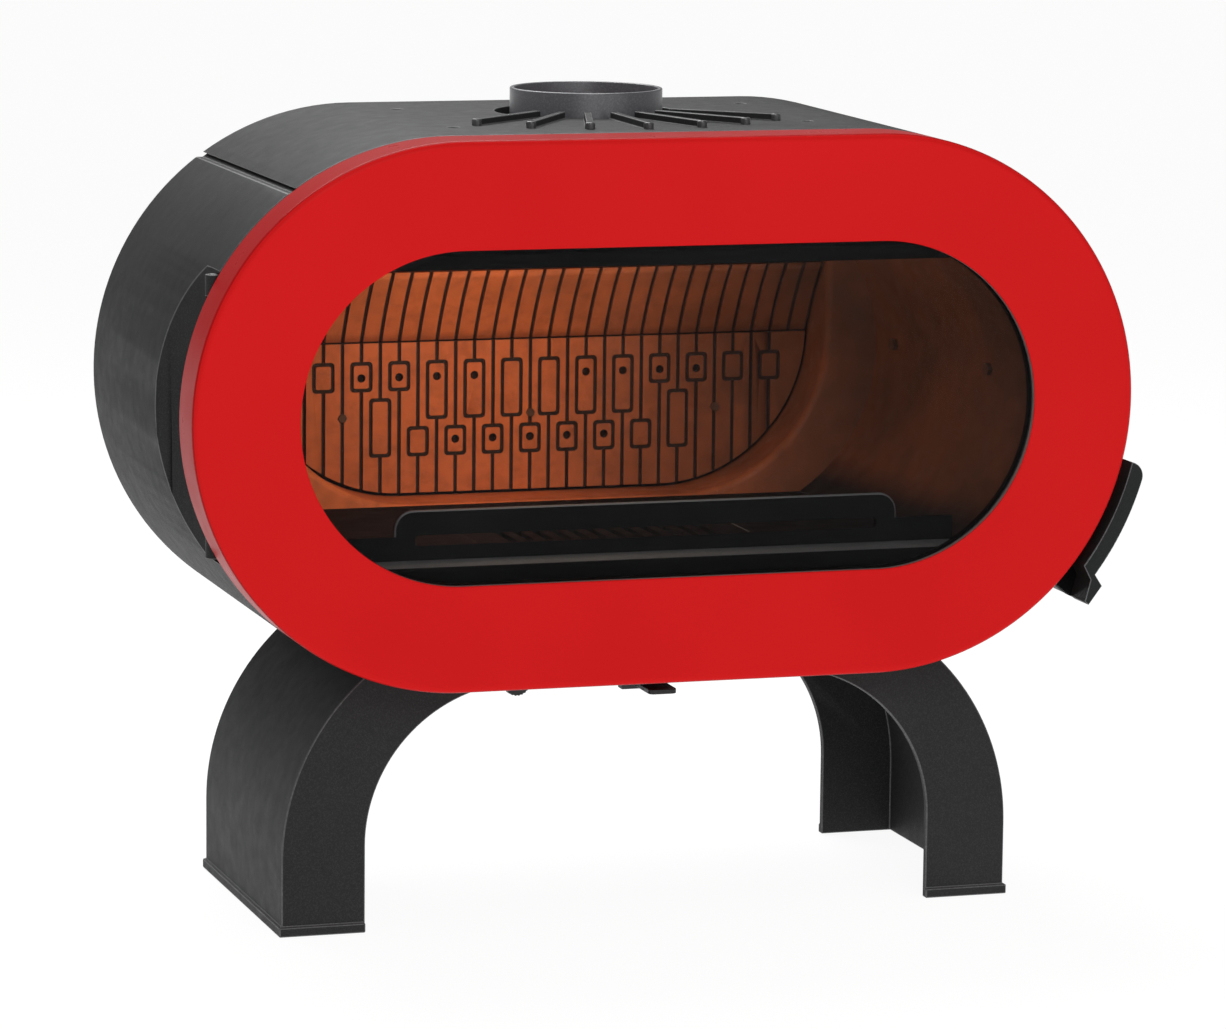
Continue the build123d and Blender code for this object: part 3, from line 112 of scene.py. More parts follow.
class Shader:
    """A small helper that lays out one node material."""

    def __init__(self, name: str) -> None:
        """Start an empty material with a Principled shader.

        Args:
            name: the material's name.
        """
        self.material = bpy.data.materials.new(name)
        self.material.use_nodes = True
        self.nodes = self.material.node_tree.nodes
        self.links = self.material.node_tree.links
        self.principled = self.nodes["Principled BSDF"]
        self.place = self.nodes.new("ShaderNodeTexCoord").outputs["Object"]

    def link(self, source: Socket, target: Socket) -> None:
        """Join two sockets."""
        self.links.new(source, target)

    def noise(self, scale: float, detail: float = 4.0, rough: float = 0.55) -> Socket:
        """Noise on the piece's own coordinates.

        Args:
            scale: features per metre.
            detail: octaves.
            rough: how strong the fine octaves are.

        Returns:
            The noise value.
        """
        node = self.nodes.new("ShaderNodeTexNoise")
        node.inputs["Scale"].default_value = scale
        node.inputs["Detail"].default_value = detail
        node.inputs["Roughness"].default_value = rough
        self.link(self.place, node.inputs["Vector"])
        return node.outputs["Fac"]

    def drive(self, name: str, source: Socket) -> None:
        """Let a value or colour drive one of the shader's sockets."""
        self.link(source, self.principled.inputs[name])

    def ramp(self, value: Socket, stops: list[tuple[float, Colour]]) -> Socket:
        """A colour ramp.

        Args:
            value: what drives the ramp.
            stops: positions and colours, in order.

        Returns:
            The ramp's colour.
        """
        node = self.nodes.new("ShaderNodeValToRGB")
        elements = node.color_ramp.elements
        while len(elements) < len(stops):
            elements.new(0.5)
        for element, (position, colour) in zip(elements, stops):
            element.position = position
            element.color = colour
        self.link(value, node.inputs["Fac"])
        return node.outputs["Color"]

    def spread(self, value: Socket, low: float, high: float) -> Socket:
        """Map noise around its middle to a range of plain values.

        Args:
            value: the noise.
            low: value at the noise's low end.
            high: value at its high end.

        Returns:
            The mapped value.
        """
        node = self.nodes.new("ShaderNodeMapRange")
        node.inputs["From Min"].default_value = NOISE_LOW
        node.inputs["From Max"].default_value = NOISE_HIGH
        node.inputs["To Min"].default_value = low
        node.inputs["To Max"].default_value = high
        self.link(value, node.inputs["Value"])
        return node.outputs["Result"]

    def step(self, value: Socket, at: float, soft: float) -> Socket:
        """A soft step from zero to one.

        Args:
            value: what is compared.
            at: where the step is half-way.
            soft: its width; a negative width steps down.

        Returns:
            The stepped value.
        """
        node = self.nodes.new("ShaderNodeMapRange")
        node.inputs["From Min"].default_value = at - soft / 2
        node.inputs["From Max"].default_value = at + soft / 2
        self.link(value, node.inputs["Value"])
        return node.outputs["Result"]

    def mix(self, factor: Socket, first: Socket, second: Colour) -> Socket:
        """Mix a colour with a fixed one.

        Args:
            factor: share of the second colour.
            first: the first colour.
            second: the second colour.

        Returns:
            The mixed colour.
        """
        node = self.nodes.new("ShaderNodeMix")
        node.data_type = "RGBA"
        self.link(factor, node.inputs["Factor"])
        self.link(first, node.inputs["A"])
        node.inputs["B"].default_value = second
        return node.outputs["Result"]

    def bump(self, height: Socket, depth: float, strength: float) -> None:
        """Drive the surface's relief.

        Args:
            height: the relief.
            depth: its depth in metres.
            strength: how strongly it shows.
        """
        node = self.nodes.new("ShaderNodeBump")
        node.inputs["Distance"].default_value = depth
        node.inputs["Strength"].default_value = strength
        self.link(height, node.inputs["Height"])
        previous = self.principled.inputs["Normal"]
        if previous.is_linked:
            self.link(previous.links[0].from_socket, node.inputs["Normal"])
        self.link(node.outputs["Normal"], previous)

    def set(self, **values: float) -> None:
        """Set the shader's own sockets, with underscores for spaces."""
        for key, value in values.items():
            self.principled.inputs[key.replace("_", " ")].default_value = value


@dataclass(frozen=True)
class CastIronPaint:
    """Heat-resistant paint on sand-cast iron: fine grain, faint clouds, pale dust in the grain."""

    name: str = "body_paint"
    dark: Colour = (0.017, 0.017, 0.0175, 1.0)
    light: Colour = (0.025, 0.025, 0.0255, 1.0)
    roughness: tuple[float, float] = (0.50, 0.60)
    gloss: float = 0.14
    grain: float = 900.0
    grain_depth: float = 0.00035
    dust: float = 2.2

    def make(self) -> bpy.types.Material:
        """Build the material."""
        shader = Shader(self.name)
        clouds = shader.noise(scale=7.0, detail=5.0)
        base = shader.ramp(clouds, [(0.25, self.dark), (0.75, self.light)])
        sand = shader.noise(scale=self.grain * 0.8, detail=2.0)
        grit = shader.ramp(sand, [(0.45, grey(0.0)), (0.75, grey(0.5))])
        dusty = tuple(self.dust * part for part in self.light[:3]) + (1.0,)
        shader.drive("Base Color", shader.mix(grit, base, dusty))
        shader.drive("Roughness", shader.spread(shader.noise(scale=55.0), *self.roughness))
        grain = shader.noise(scale=self.grain, detail=3.0, rough=0.6)
        shader.bump(grain, depth=self.grain_depth, strength=0.7)
        shader.bump(shader.noise(scale=38.0, detail=2.0), depth=0.0006, strength=0.08)
        shader.set(Specular_IOR_Level=self.gloss)
        return shader.material


@dataclass(frozen=True)
class Enamel:
    """Fired enamel: even colour, a faint ripple, a little darker where it pooled."""

    name: str = "red_enamel"
    colour: Colour = (0.645, 0.0115, 0.0125, 1.0)
    deep: Colour = (0.62, 0.0105, 0.0115, 1.0)

    def make(self) -> bpy.types.Material:
        """Build the material."""
        shader = Shader(self.name)
        pooled = shader.noise(scale=4.0, detail=2.0)
        shader.drive("Base Color", shader.ramp(pooled, [(0.35, self.deep), (0.65, self.colour)]))
        shader.drive("Roughness", shader.spread(shader.noise(scale=24.0), low=0.27, high=0.35))
        shader.bump(shader.noise(scale=45.0, detail=1.0), depth=0.0003, strength=0.05)
        shader.set(Specular_IOR_Level=0.03)
        return shader.material


@dataclass(frozen=True)
class FiredIron:
    """Bare cast iron browned by fire, with painted firelight on the left fading into painted shade
    on the right, sooty speckle and painted shade in the grooves.
    """

    name: str = "fired_iron"
    # The first four colours here, brightest to darkest, are painted firelight falling off into
    # painted shade; the darkest also colours the sooty speckle.
    glow_lit: Colour = (0.42, 0.105, 0.034, 1.0)
    warm: Colour = (0.29, 0.082, 0.032, 1.0)
    dim_lit: Colour = (0.13, 0.040, 0.015, 1.0)
    soot_and_shade: Colour = (0.065, 0.024, 0.011, 1.0)
    # Painted shade in recesses: the colour of cast grooves and of faces behind the fireback; the
    # liner uses it for its darker bottom.
    groove: Colour = (0.022, 0.010, 0.006, 1.0)
    fade_start: float = -0.44
    fade_end: float = 0.44
    groove_depth: float = 0.0
    groove_pitch: float = 0.0
    groove_width: float = 0.0
    darker_below: float = 0.0
    mottle: float = 0.10
    groove_soft: float = 0.0006
    stripe_soft: float = 0.0005
    darker_soft: float = 0.03

    def make(self) -> bpy.types.Material:
        """Build the material."""
        shader = Shader(self.name)
        split = shader.nodes.new("ShaderNodeSeparateXYZ")
        shader.link(shader.place, split.inputs["Vector"])
        # Painted firelight: across the piece the colour runs from a lit patch left of the middle
        # into painted shade on the right.
        across = shader.nodes.new("ShaderNodeMapRange")
        across.inputs["From Min"].default_value = self.fade_start
        across.inputs["From Max"].default_value = self.fade_end
        shader.link(split.outputs["X"], across.inputs["Value"])
        blend = shader.nodes.new("ShaderNodeMath")
        blend.operation = "ADD"
        shader.link(across.outputs["Result"], blend.inputs[0])
        patches = shader.noise(scale=9.0, detail=6.0, rough=0.6)
        shader.link(shader.spread(patches, -self.mottle, self.mottle), blend.inputs[1])
        painted_firelight = shader.ramp(
            blend.outputs["Value"],
            [
                (0.0, self.warm),
                (0.42, self.glow_lit),
                (0.60, self.warm),
                (0.82, self.dim_lit),
                (1.0, self.soot_and_shade),
            ],
        )
        streaks = shader.noise(scale=70.0, detail=5.0, rough=0.65)
        speckle = shader.ramp(streaks, [(0.42, grey(0.0)), (0.72, grey(0.4))])
        surface = shader.mix(speckle, painted_firelight, self.soot_and_shade)
        # Painted shade: faces deeper than the set depth turn dark.
        if self.groove_depth:
            deep = shader.step(split.outputs["Y"], self.groove_depth, self.groove_soft)
            surface = shader.mix(deep, surface, self.groove)
        if self.groove_pitch:
            surface = shader.mix(self.stripes(shader, split.outputs["X"]), surface, self.groove)
        # Darker below a set height.
        if self.darker_below:
            low = shader.step(split.outputs["Z"], self.darker_below, -self.darker_soft)
            surface = shader.mix(low, surface, self.groove)
        shader.drive("Base Color", surface)
        shader.drive("Roughness", shader.spread(shader.noise(scale=40.0), low=0.55, high=0.8))
        shader.bump(shader.noise(scale=700.0, detail=3.0), depth=0.0004, strength=0.4)
        shader.bump(shader.noise(scale=60.0, detail=3.0), depth=0.0012, strength=0.2)
        shader.set(Specular_IOR_Level=0.35)
        return shader.material

    def stripes(self, shader: Shader, across: Socket) -> Socket:
        """Upright stripes of painted shade that follow the cast grooves.

        Args:
            shader: the material being laid out.
            across: the coordinate along the row of grooves.

        Returns:
            One in a groove, zero between two.
        """
        fold = shader.nodes.new("ShaderNodeMath")
        fold.operation = "PINGPONG"
        fold.inputs[1].default_value = self.groove_pitch / 2
        shader.link(across, fold.inputs[0])
        return shader.step(fold.outputs["Value"], self.groove_width / 2, -self.stripe_soft)


@dataclass(frozen=True)
class Steel:
    """Turned or sheet steel with fine scratches."""

    name: str
    dark: Colour
    light: Colour
    metal: float
    roughness: tuple[float, float]

    def make(self) -> bpy.types.Material:
        """Build the material."""
        shader = Shader(self.name)
        grain = shader.noise(scale=420.0, detail=6.0, rough=0.7)
        shader.drive("Base Color", shader.ramp(grain, [(0.3, self.dark), (0.7, self.light)]))
        shader.drive("Roughness", shader.spread(shader.noise(scale=130.0), *self.roughness))
        shader.bump(shader.noise(scale=1500.0, detail=2.0), depth=0.0001, strength=0.3)
        shader.set(Metallic=self.metal)
        return shader.material


@dataclass(frozen=True)
class ClearGlass:
    """Clear ceramic glass with a whisper of dust."""

    name: str = "stove_glass"

    def make(self) -> bpy.types.Material:
        """Build the material."""
        shader = Shader(self.name)
        haze = shader.noise(scale=6.0, detail=3.0)
        shader.drive("Base Color", shader.ramp(haze, [(0.3, grey(0.02)), (0.7, grey(0.05))]))
        shader.drive("Roughness", shader.spread(shader.noise(scale=30.0), low=0.02, high=0.05))
        shader.set(Alpha=0.05, Specular_IOR_Level=0.25)
        return shader.material


@dataclass(frozen=True)
class WovenRope:
    """Braided glass-fibre rope and flat gasket tape."""

    name: str = "gasket_fibre"
    dark: Colour = (0.020, 0.020, 0.021, 1.0)
    light: Colour = (0.075, 0.075, 0.075, 1.0)
    pitch: float = 260.0

    def make(self) -> bpy.types.Material:
        """Build the material."""
        shader = Shader(self.name)
        weave = shader.nodes.new("ShaderNodeTexWave")
        weave.bands_direction = "DIAGONAL"
        weave.inputs["Scale"].default_value = self.pitch
        weave.inputs["Distortion"].default_value = 2.0
        shader.link(shader.place, weave.inputs["Vector"])
        strands = weave.outputs["Fac"]
        shader.drive("Base Color", shader.ramp(strands, [(0.2, self.dark), (0.8, self.light)]))
        shader.bump(strands, depth=0.0008, strength=0.6)
        shader.bump(shader.noise(scale=2200.0, detail=2.0), depth=0.0002, strength=0.5)
        shader.set(Roughness=0.9)
        return shader.material


@dataclass
class Finishes:
    """All the stove's materials, one per slot."""

    made: dict[Slot, bpy.types.Material] = field(default_factory=dict)

    def build(self) -> None:
        """Make every material once, under its slot."""
        plans = {**self.paints(), **self.irons(), **self.steels(), **self.others()}
        self.made = {slot: plan.make() for slot, plan in plans.items()}

    def paints(self) -> dict[Slot, CastIronPaint]:
        """Painted castings and their lighter edges, partly wear and partly painted highlight."""
        return {
            Slot.BODY: CastIronPaint(),
            Slot.HANDLE: CastIronPaint(
                name="handle_satin",
                dark=(0.008, 0.009, 0.009, 1.0),
                light=(0.013, 0.014, 0.014, 1.0),
                roughness=(0.34, 0.44),
                gloss=0.16,
                grain=1300.0,
                grain_depth=0.0002,
            ),
            Slot.HEARTH: CastIronPaint(
                name="hearth_black",
                dark=(0.0022, 0.0023, 0.0025, 1.0),
                light=(0.0045, 0.0046, 0.0050, 1.0),
                roughness=(0.60, 0.74),
                gloss=0.04,
                grain=1000.0,
                grain_depth=0.0003,
            ),
            # The collar's lighter, bluish colour is a painted sheen; its gloss is real.
            Slot.COLLAR: CastIronPaint(
                name="collar_sheen_paint",
                dark=(0.066, 0.066, 0.075, 1.0),
                light=(0.086, 0.086, 0.096, 1.0),
                roughness=(0.28, 0.36),
                gloss=0.9,
                grain=700.0,
                grain_depth=0.0002,
            ),
            Slot.HEAD: CastIronPaint(
                name="fin_head_paint",
                dark=(0.03, 0.03, 0.031, 1.0),
                light=(0.05, 0.05, 0.052, 1.0),
                roughness=(0.24, 0.32),
                gloss=0.8,
                grain=700.0,
                grain_depth=0.0001,
            ),
            # Edge finishes: lighter and glossier than their paints, partly wear and partly painted
            # highlight along edges.
            Slot.BODY_EDGE: CastIronPaint(
                name="body_edge",
                dark=(0.050, 0.050, 0.051, 1.0),
                light=(0.075, 0.075, 0.077, 1.0),
                roughness=(0.38, 0.5),
                gloss=0.5,
                grain=700.0,
                grain_depth=0.0002,
            ),
            Slot.HEARTH_EDGE: CastIronPaint(
                name="hearth_edge",
                dark=(0.045, 0.046, 0.047, 1.0),
                light=(0.085, 0.086, 0.088, 1.0),
                roughness=(0.32, 0.45),
                gloss=0.6,
                grain=700.0,
                grain_depth=0.0002,
            ),
            Slot.HANDLE_EDGE: CastIronPaint(
                name="handle_edge",
                dark=(0.05, 0.053, 0.055, 1.0),
                light=(0.09, 0.095, 0.1, 1.0),
                roughness=(0.28, 0.4),
                gloss=0.6,
                grain=700.0,
                grain_depth=0.0002,
            ),
        }

    def irons(self) -> dict[Slot, FiredIron]:
        """The firebox's browned castings."""
        return {
            Slot.FIRE: FiredIron(),
            # The lower fireback's grooves, pad outlines and holes get painted shade.
            Slot.FIREBACK: FiredIron(name="fireback_lower_iron", groove_depth=0.2499),
            # The crown's grooves get painted shade in stripes.
            Slot.CROWN: FiredIron(
                name="fireback_upper_iron", groove_pitch=0.0214, groove_width=0.0042
            ),
            Slot.LINER: FiredIron(
                name="liner_iron", groove=(0.006, 0.0045, 0.004, 1.0), darker_below=0.405
            ),
            # Faces behind the fireback get painted shade.
            Slot.REAR: FiredIron(name="rear_iron", groove_depth=0.254),
        }

    def steels(self) -> dict[Slot, Steel]:
        """Fasteners, shafts, sheet metal and the window's edge."""
        return {
            Slot.SHEET: Steel(
                name="black_sheet",
                dark=(0.02, 0.02, 0.021, 1.0),
                light=(0.035, 0.035, 0.036, 1.0),
                metal=0.2,
                roughness=(0.4, 0.55),
            ),
            Slot.BLACK: Steel(
                name="black_steel",
                dark=(0.014, 0.014, 0.015, 1.0),
                light=(0.030, 0.030, 0.032, 1.0),
                metal=0.5,
                roughness=(0.32, 0.48),
            ),
            Slot.STEEL: Steel(
                name="plain_steel",
                dark=(0.22, 0.22, 0.23, 1.0),
                light=(0.42, 0.42, 0.43, 1.0),
                metal=1.0,
                roughness=(0.28, 0.42),
            ),
            Slot.FIRE_STEEL: Steel(
                name="browned_steel",
                dark=(0.05, 0.025, 0.015, 1.0),
                light=(0.12, 0.055, 0.03, 1.0),
                metal=0.4,
                roughness=(0.5, 0.7),
            ),
            Slot.WINDOW_EDGE: Steel(
                name="window_edge",
                dark=(0.22, 0.20, 0.20, 1.0),
                light=(0.36, 0.33, 0.33, 1.0),
                metal=0.4,
                roughness=(0.3, 0.45),
            ),
        }

    def others(self) -> dict[Slot, Enamel | ClearGlass | WovenRope]:
        """Enamel, glass and rope."""
        return {
            Slot.ENAMEL: Enamel(),
            # A darker copy of the enamel for the return rim: painted shade.
            Slot.SHADED_RIM: Enamel(
                name="shaded_rim_enamel",
                colour=(0.40, 0.0065, 0.0075, 1.0),
                deep=(0.37, 0.0060, 0.0070, 1.0),
            ),
            Slot.GLASS: ClearGlass(),
            Slot.ROPE: WovenRope(),
        }


# ---------------------------------------------------------------- making pieces
class Workshop:
    """Makes finished objects from bmeshes and from the frame's nodes."""

    roll_step: float = 0.003
    roll_lean: tuple[float, float] = (0.15, 0.96)
    back_lean: float = 0.3
    outward: float = 0.01
    soft_steps: int = 2

    def __init__(self, finishes: Finishes) -> None:
        """Keep the finishes.

        Args:
            finishes: the materials.
        """
        self.finishes = finishes

    def deliver(
        self,
        shape: bmesh.types.BMesh,
        name: str,
        slot: Slot,
        body: str,
        *nodes: str,
        crease: float = 32.0,
    ) -> bpy.types.Object:
        """Turn a bmesh into a piece that rides on a body.

        Args:
            shape: the mesh, in place.
            name: the piece's name.
            slot: its material slot.
            body: the body it rides on.
            nodes: frame nodes it stands for.
            crease: edges sharper than this many degrees stay crisp.

        Returns:
            The piece.
        """
        mesh = bpy.data.meshes.new(name)
        shape.to_mesh(mesh)
        shape.free()
        mesh.shade_smooth()
        mesh.set_sharp_from_angle(angle=math.radians(crease))
        mesh.materials.append(self.finishes.made[slot])
        piece = bpy.data.objects.new(name, mesh)
        bpy.context.scene.collection.objects.link(piece)
        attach(piece, body)
        if nodes:
            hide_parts(*nodes)
        LOG.info("%s: %d faces on %s", name, len(mesh.polygons), body)
        return piece

    def mark_outside(self, shape: bmesh.types.BMesh, node: str) -> None:
        """Give the second finish to a casting's back and outer faces.

        Args:
            shape: the casting's mesh.
            node: the frame node it was copied from.
        """
        low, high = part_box(node)
        middle = (low + high) / 2
        half = (high.x - low.x) / 2 - (high.z - low.z) / 2
        for face in shape.faces:
            spot = face.calc_center_median()
            nearest = Vector((max(-half, min(half, spot.x)), spot.y, middle.z))
            faces_out = face.normal.dot(spot - nearest) > self.outward
            if face.normal.y > self.back_lean or faces_out:
                face.material_index = 1

    def mark_rolled(self, shape: bmesh.types.BMesh) -> None:
        """Give the second finish to the narrow leaning faces of rolled edges."""
        least, most = self.roll_lean
        for face in shape.faces:
            narrow = min(side.calc_length() for side in face.edges) < self.roll_step
            face.material_index = int(narrow and least < abs(face.normal.y) < most)

    def refine(
        self,
        node: str,
        slot: Slot,
        body: str,
        crease: float = 32.0,
        edge: float = 0.0,
        outside: Slot | None = None,
        rolled: bool = False,
    ) -> bpy.types.Object:
        """A merged, smooth-shaded copy of a casting, with softened edges.

        Args:
            node: the frame node.
            slot: its material slot.
            body: the body it rides on.
            crease: edges sharper than this many degrees stay crisp.
            edge: width of a softened edge, in metres.
            outside: the finish of its outer faces, where they differ.
            rolled: the casting's own rolled edges get the lighter edge finish, partly wear and
                partly painted highlight.

        Returns:
            The piece.
        """
        shape = bmesh.new()
        shape.from_mesh(bpy.data.objects[node].data)
        bmesh.ops.remove_doubles(shape, verts=shape.verts[:], dist=WELD)
        bmesh.ops.dissolve_limit(
            shape,
            angle_limit=FLAT,
            verts=shape.verts[:],
            edges=shape.edges[:],
            delimit={"SHARP"},
        )
        if outside:
            self.mark_outside(shape, node)
        if rolled:
            self.mark_rolled(shape)
        piece = self.deliver(shape, node + "_casting", slot, body, node, crease=crease)
        if rolled:
            piece.data.materials.append(self.finishes.made[WORN_AND_HIGHLIT[slot]])
        if outside:
            piece.data.materials.append(self.finishes.made[outside])
        # Softened edges of painted castings take their lighter edge finish, partly painted
        # highlight.
        if edge:
            if slot in WORN_AND_HIGHLIT:
                piece.data.materials.append(self.finishes.made[WORN_AND_HIGHLIT[slot]])
            soften = piece.modifiers.new("soft_edges", "BEVEL")
            soften.width = edge
            soften.material = len(piece.data.materials) - 1 if slot in WORN_AND_HIGHLIT else -1
            soften.segments = self.soft_steps
            soften.limit_method = "ANGLE"
            soften.angle_limit = math.radians(crease)
            soften.use_clamp_overlap = False
            soften.harden_normals = True
        return piece


def closed_loop(
    shape: bmesh.types.BMesh, points: list[Point]
) -> tuple[list[bmesh.types.BMVert], list[bmesh.types.BMEdge]]:
    """Join points into a closed line.

    Args:
        shape: the mesh that takes the line.
        points: its corners, in order.

    Returns:
        The line's vertices and edges.
    """
    verts = [shape.verts.new(point) for point in points]
    count = len(verts)
    edges = [shape.edges.new((verts[i], verts[(i + 1) % count])) for i in range(count)]
    return verts, edges


def sweep_stadium(
    section: list[tuple[float, float]], half: float, height: float, steps: int
) -> bmesh.types.BMesh:
    """Carry a closed section round a stadium.

    Args:
        section: radius and depth of each corner, in order.
        half: half the straight length.
        height: height of the stadium's centre line.
        steps: divisions of each round end.

    Returns:
        The closed ring.
    """
    shape = bmesh.new()
    points = [(-half, depth, height + radius) for radius, depth in section]
    corners, loop = closed_loop(shape, points)
    front: list[bmesh.types.BMVert | bmesh.types.BMEdge] = [*corners, *loop]
    for side in (1, -1):
        ahead = [e for e in front if isinstance(e, bmesh.types.BMEdge)]
        made = bmesh.ops.extrude_edge_only(shape, edges=ahead)["geom"]
        moved = [v for v in made if isinstance(v, bmesh.types.BMVert)]
        bmesh.ops.translate(shape, verts=moved, vec=(2 * half * side, 0, 0))
        edges = [e for e in made if isinstance(e, bmesh.types.BMEdge)]
        turn = bmesh.ops.spin(
            shape,
            geom=moved + edges,
            cent=(half * side, 0, height),
            axis=(0, 1, 0),
            angle=math.pi,
            steps=steps,
            use_merge=False,
        )
        front = turn["geom_last"]
    bmesh.ops.remove_doubles(shape, verts=shape.verts[:], dist=RING_WELD)
    bmesh.ops.recalc_face_normals(shape, faces=shape.faces[:])
    return shape


def rounded(corners: list[Point], steps: int) -> list[tuple[float, float]]:
    """A closed section with some corners rounded.

    Args:
        corners: two coordinates and a rounding radius for each corner.
        steps: divisions of each rounding.

    Returns:
        The section's points.
    """
    points: list[tuple[float, float]] = []
    count = len(corners)
    for index, (a, b, radius) in enumerate(corners):
        here = Vector((a, b))
        if radius <= 0:
            points.append((a, b))
            continue
        before = (Vector(corners[index - 1][:2]) - here).normalized()
        after = (Vector(corners[(index + 1) % count][:2]) - here).normalized()
        opening = before.angle(after)
        run = radius / math.tan(opening / 2)
        centre = here + (before + after).normalized() * (radius / math.sin(opening / 2))
        start = here + before * run - centre
        finish = here + after * run - centre
        for step in range(steps + 1):
            spoke = start.slerp(finish, step / steps).normalized() * radius
            points.append(tuple(centre + spoke))
    return points


# ---------------------------------------------------------------- sub-assemblies
@dataclass
class DoorRing:
    """The enamelled ring, the glass in it and the rope behind it."""

    shop: Workshop
    face_round: float = 0.007
    window_round: float = 0.0015
    face: float = 0.008
    rim: float = 0.006
    glass_lap: float = 0.012
    back_round: float = 0.001
    inner_round: float = 0.003
    round_steps: int = 8
    ring_steps: int = 96
    rope_steps: int = 72
    rope_sides: int = 12

    def build(self) -> None:
        """Measure the frame's ring and make the visible pieces."""
        low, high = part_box("door_facade")
        self.middle = (low.z + high.z) / 2
        self.radius = (high.z - low.z) / 2
        self.half = (high.x - low.x) / 2 - self.radius
        self.front, self.back = low.y, high.y
        self.ring()
        self.gaskets()
        self.rope()
        self.glass()

    def ring(self) -> None:
        """The enamelled ring with its rolled front edge and return rim."""
        glass_low, glass_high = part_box("window_glass")
        window = (glass_high.z - glass_low.z) / 2 - self.glass_lap
        inner = self.radius - self.rim
        window_back = self.front + self.window_round
        face_back = self.front + self.face_round / 2
        section = rounded(
            [
                (window, self.front, self.window_round),
                (self.radius, self.front, self.face_round),
                (self.radius, self.back, self.back_round),
                (inner, self.back, self.back_round),
                (inner, self.front + self.face, self.inner_round),
                (window, self.front + self.face, self.back_round),
            ],
            self.round_steps,
        )
        shape = sweep_stadium(section, self.half, self.middle, self.ring_steps)
        # Faces round the window take the window edge finish; the return rim's outer faces take the
        # darker enamel, painted shade.
        for face in shape.faces:
            spot = face.calc_center_median()
            across = max(abs(spot.x) - self.half, 0.0)
            reach = math.hypot(across, spot.z - self.middle)
            if abs(reach - window) < self.window_round and spot.y > window_back:
                face.material_index = 1
            elif reach > inner and spot.y > face_back:
                face.material_index = 2
        piece = self.shop.deliver(
            shape, "door_ring", Slot.ENAMEL, "door", "door_facade", crease=60.0
        )
        for slot in (Slot.WINDOW_EDGE, Slot.SHADED_RIM):
            piece.data.materials.append(self.shop.finishes.made[slot])
        weight = piece.modifiers.new("even_normals", "WEIGHTED_NORMAL")
        weight.keep_sharp = True

    def gaskets(self) -> None:
        """The two flat tapes that hold the glass."""
        self.shop.refine("glass_gaskets", Slot.ROPE, "door")

    def rope(self) -> None:
        """The round rope that seals the door."""
        low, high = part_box("door_rope_seal")
        thick = high.y - low.y
        centre = (high.z - low.z) / 2 - thick / 2
        depth = (low.y + high.y) / 2
        turns = [math.tau * step / self.rope_sides for step in range(self.rope_sides)]
        section = [
            (centre + math.cos(turn) * thick / 2, depth + math.sin(turn) * thick / 2)
            for turn in turns
        ]
        shape = sweep_stadium(section, self.half, self.middle, self.rope_steps)
        self.shop.deliver(shape, "door_rope", Slot.ROPE, "door", "door_rope_seal", crease=80.0)

    def glass(self) -> None:
        """The window's glass."""
        self.shop.refine("window_glass", Slot.GLASS, "door")


@dataclass
class Collar:
    """The flue collar, turned about its own axis."""

    shop: Workshop
    wall: float = 0.005
    flange: float = 0.007
    bore: float = 0.076
    lip: float = 0.0014
    flange_round: float = 0.0015
    root_round: float = 0.002
    round_steps: int = 4
    turn_steps: int = 128

    def build(self) -> None:
        """Spin the collar's section."""
        low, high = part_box("flue_collar")
        centre = (low + high) / 2
        reach = (high.x - low.x) / 2
        outer = self.bore + self.wall
        section = rounded(
            [
                (self.bore, low.z, 0),
                (reach, low.z, 0),
                (reach, low.z + self.flange, self.flange_round),
                (outer, low.z + self.flange, self.root_round),
                (outer, high.z, self.lip),
                (self.bore, high.z, self.lip),
            ],
            self.round_steps,
        )
        shape = bmesh.new()
        points = [(centre.x + radius, centre.y, height) for radius, height in section]
        verts, edges = closed_loop(shape, points)
        bmesh.ops.spin(
            shape,
            geom=verts + edges,
            cent=centre,
            axis=(0, 0, 1),
            angle=math.tau,
            steps=self.turn_steps,
            use_merge=True,
        )
        bmesh.ops.remove_doubles(shape, verts=shape.verts[:], dist=WELD)
        bmesh.ops.recalc_face_normals(shape, faces=shape.faces[:])
        self.shop.deliver(shape, "collar_turned", Slot.COLLAR, "stove_body", "flue_collar")
        self.shop.refine("collar_bolts", Slot.BLACK, "stove_body")


@dataclass
class FinHeads:
    """Small round heads cast on the outer ends of the top's fins."""

    shop: Workshop
    angles: tuple[int, ...] = (-48, -32, -16, 0, 16, 32, 48)
    reach: float = 0.2185
    radius: float = 0.0052
    height: float = 0.0095
    top_round: float = 0.0018
    sides: int = 20

    def build(self) -> None:
        """Stand one rounded head on the end of each fin."""
        low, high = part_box("flue_collar")
        centre = (low + high) / 2
        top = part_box("top_shell")[1].z
        shape = bmesh.new()
        for angle in self.angles:
            turn = math.radians(angle)
            along, ahead = math.sin(turn) * self.reach, math.cos(turn) * self.reach
            spot = Vector((centre.x + along, centre.y - ahead, top - self.height / 2))
            bmesh.ops.create_cone(
                shape,
                cap_ends=True,
                segments=self.sides,
                radius1=self.radius,
                radius2=self.radius,
                depth=self.height,
                matrix=Matrix.Translation(spot),
            )
        rims = [e for f in shape.faces if f.normal.z > ALONG_AXIS for e in f.edges]
        bmesh.ops.bevel(
            shape,
            geom=rims,
            offset=self.top_round,
            segments=4,
            profile=0.5,
            affect="EDGES",
            material=-1,
        )
        self.shop.deliver(shape, "fin_heads", Slot.HEAD, "stove_body", crease=50.0)


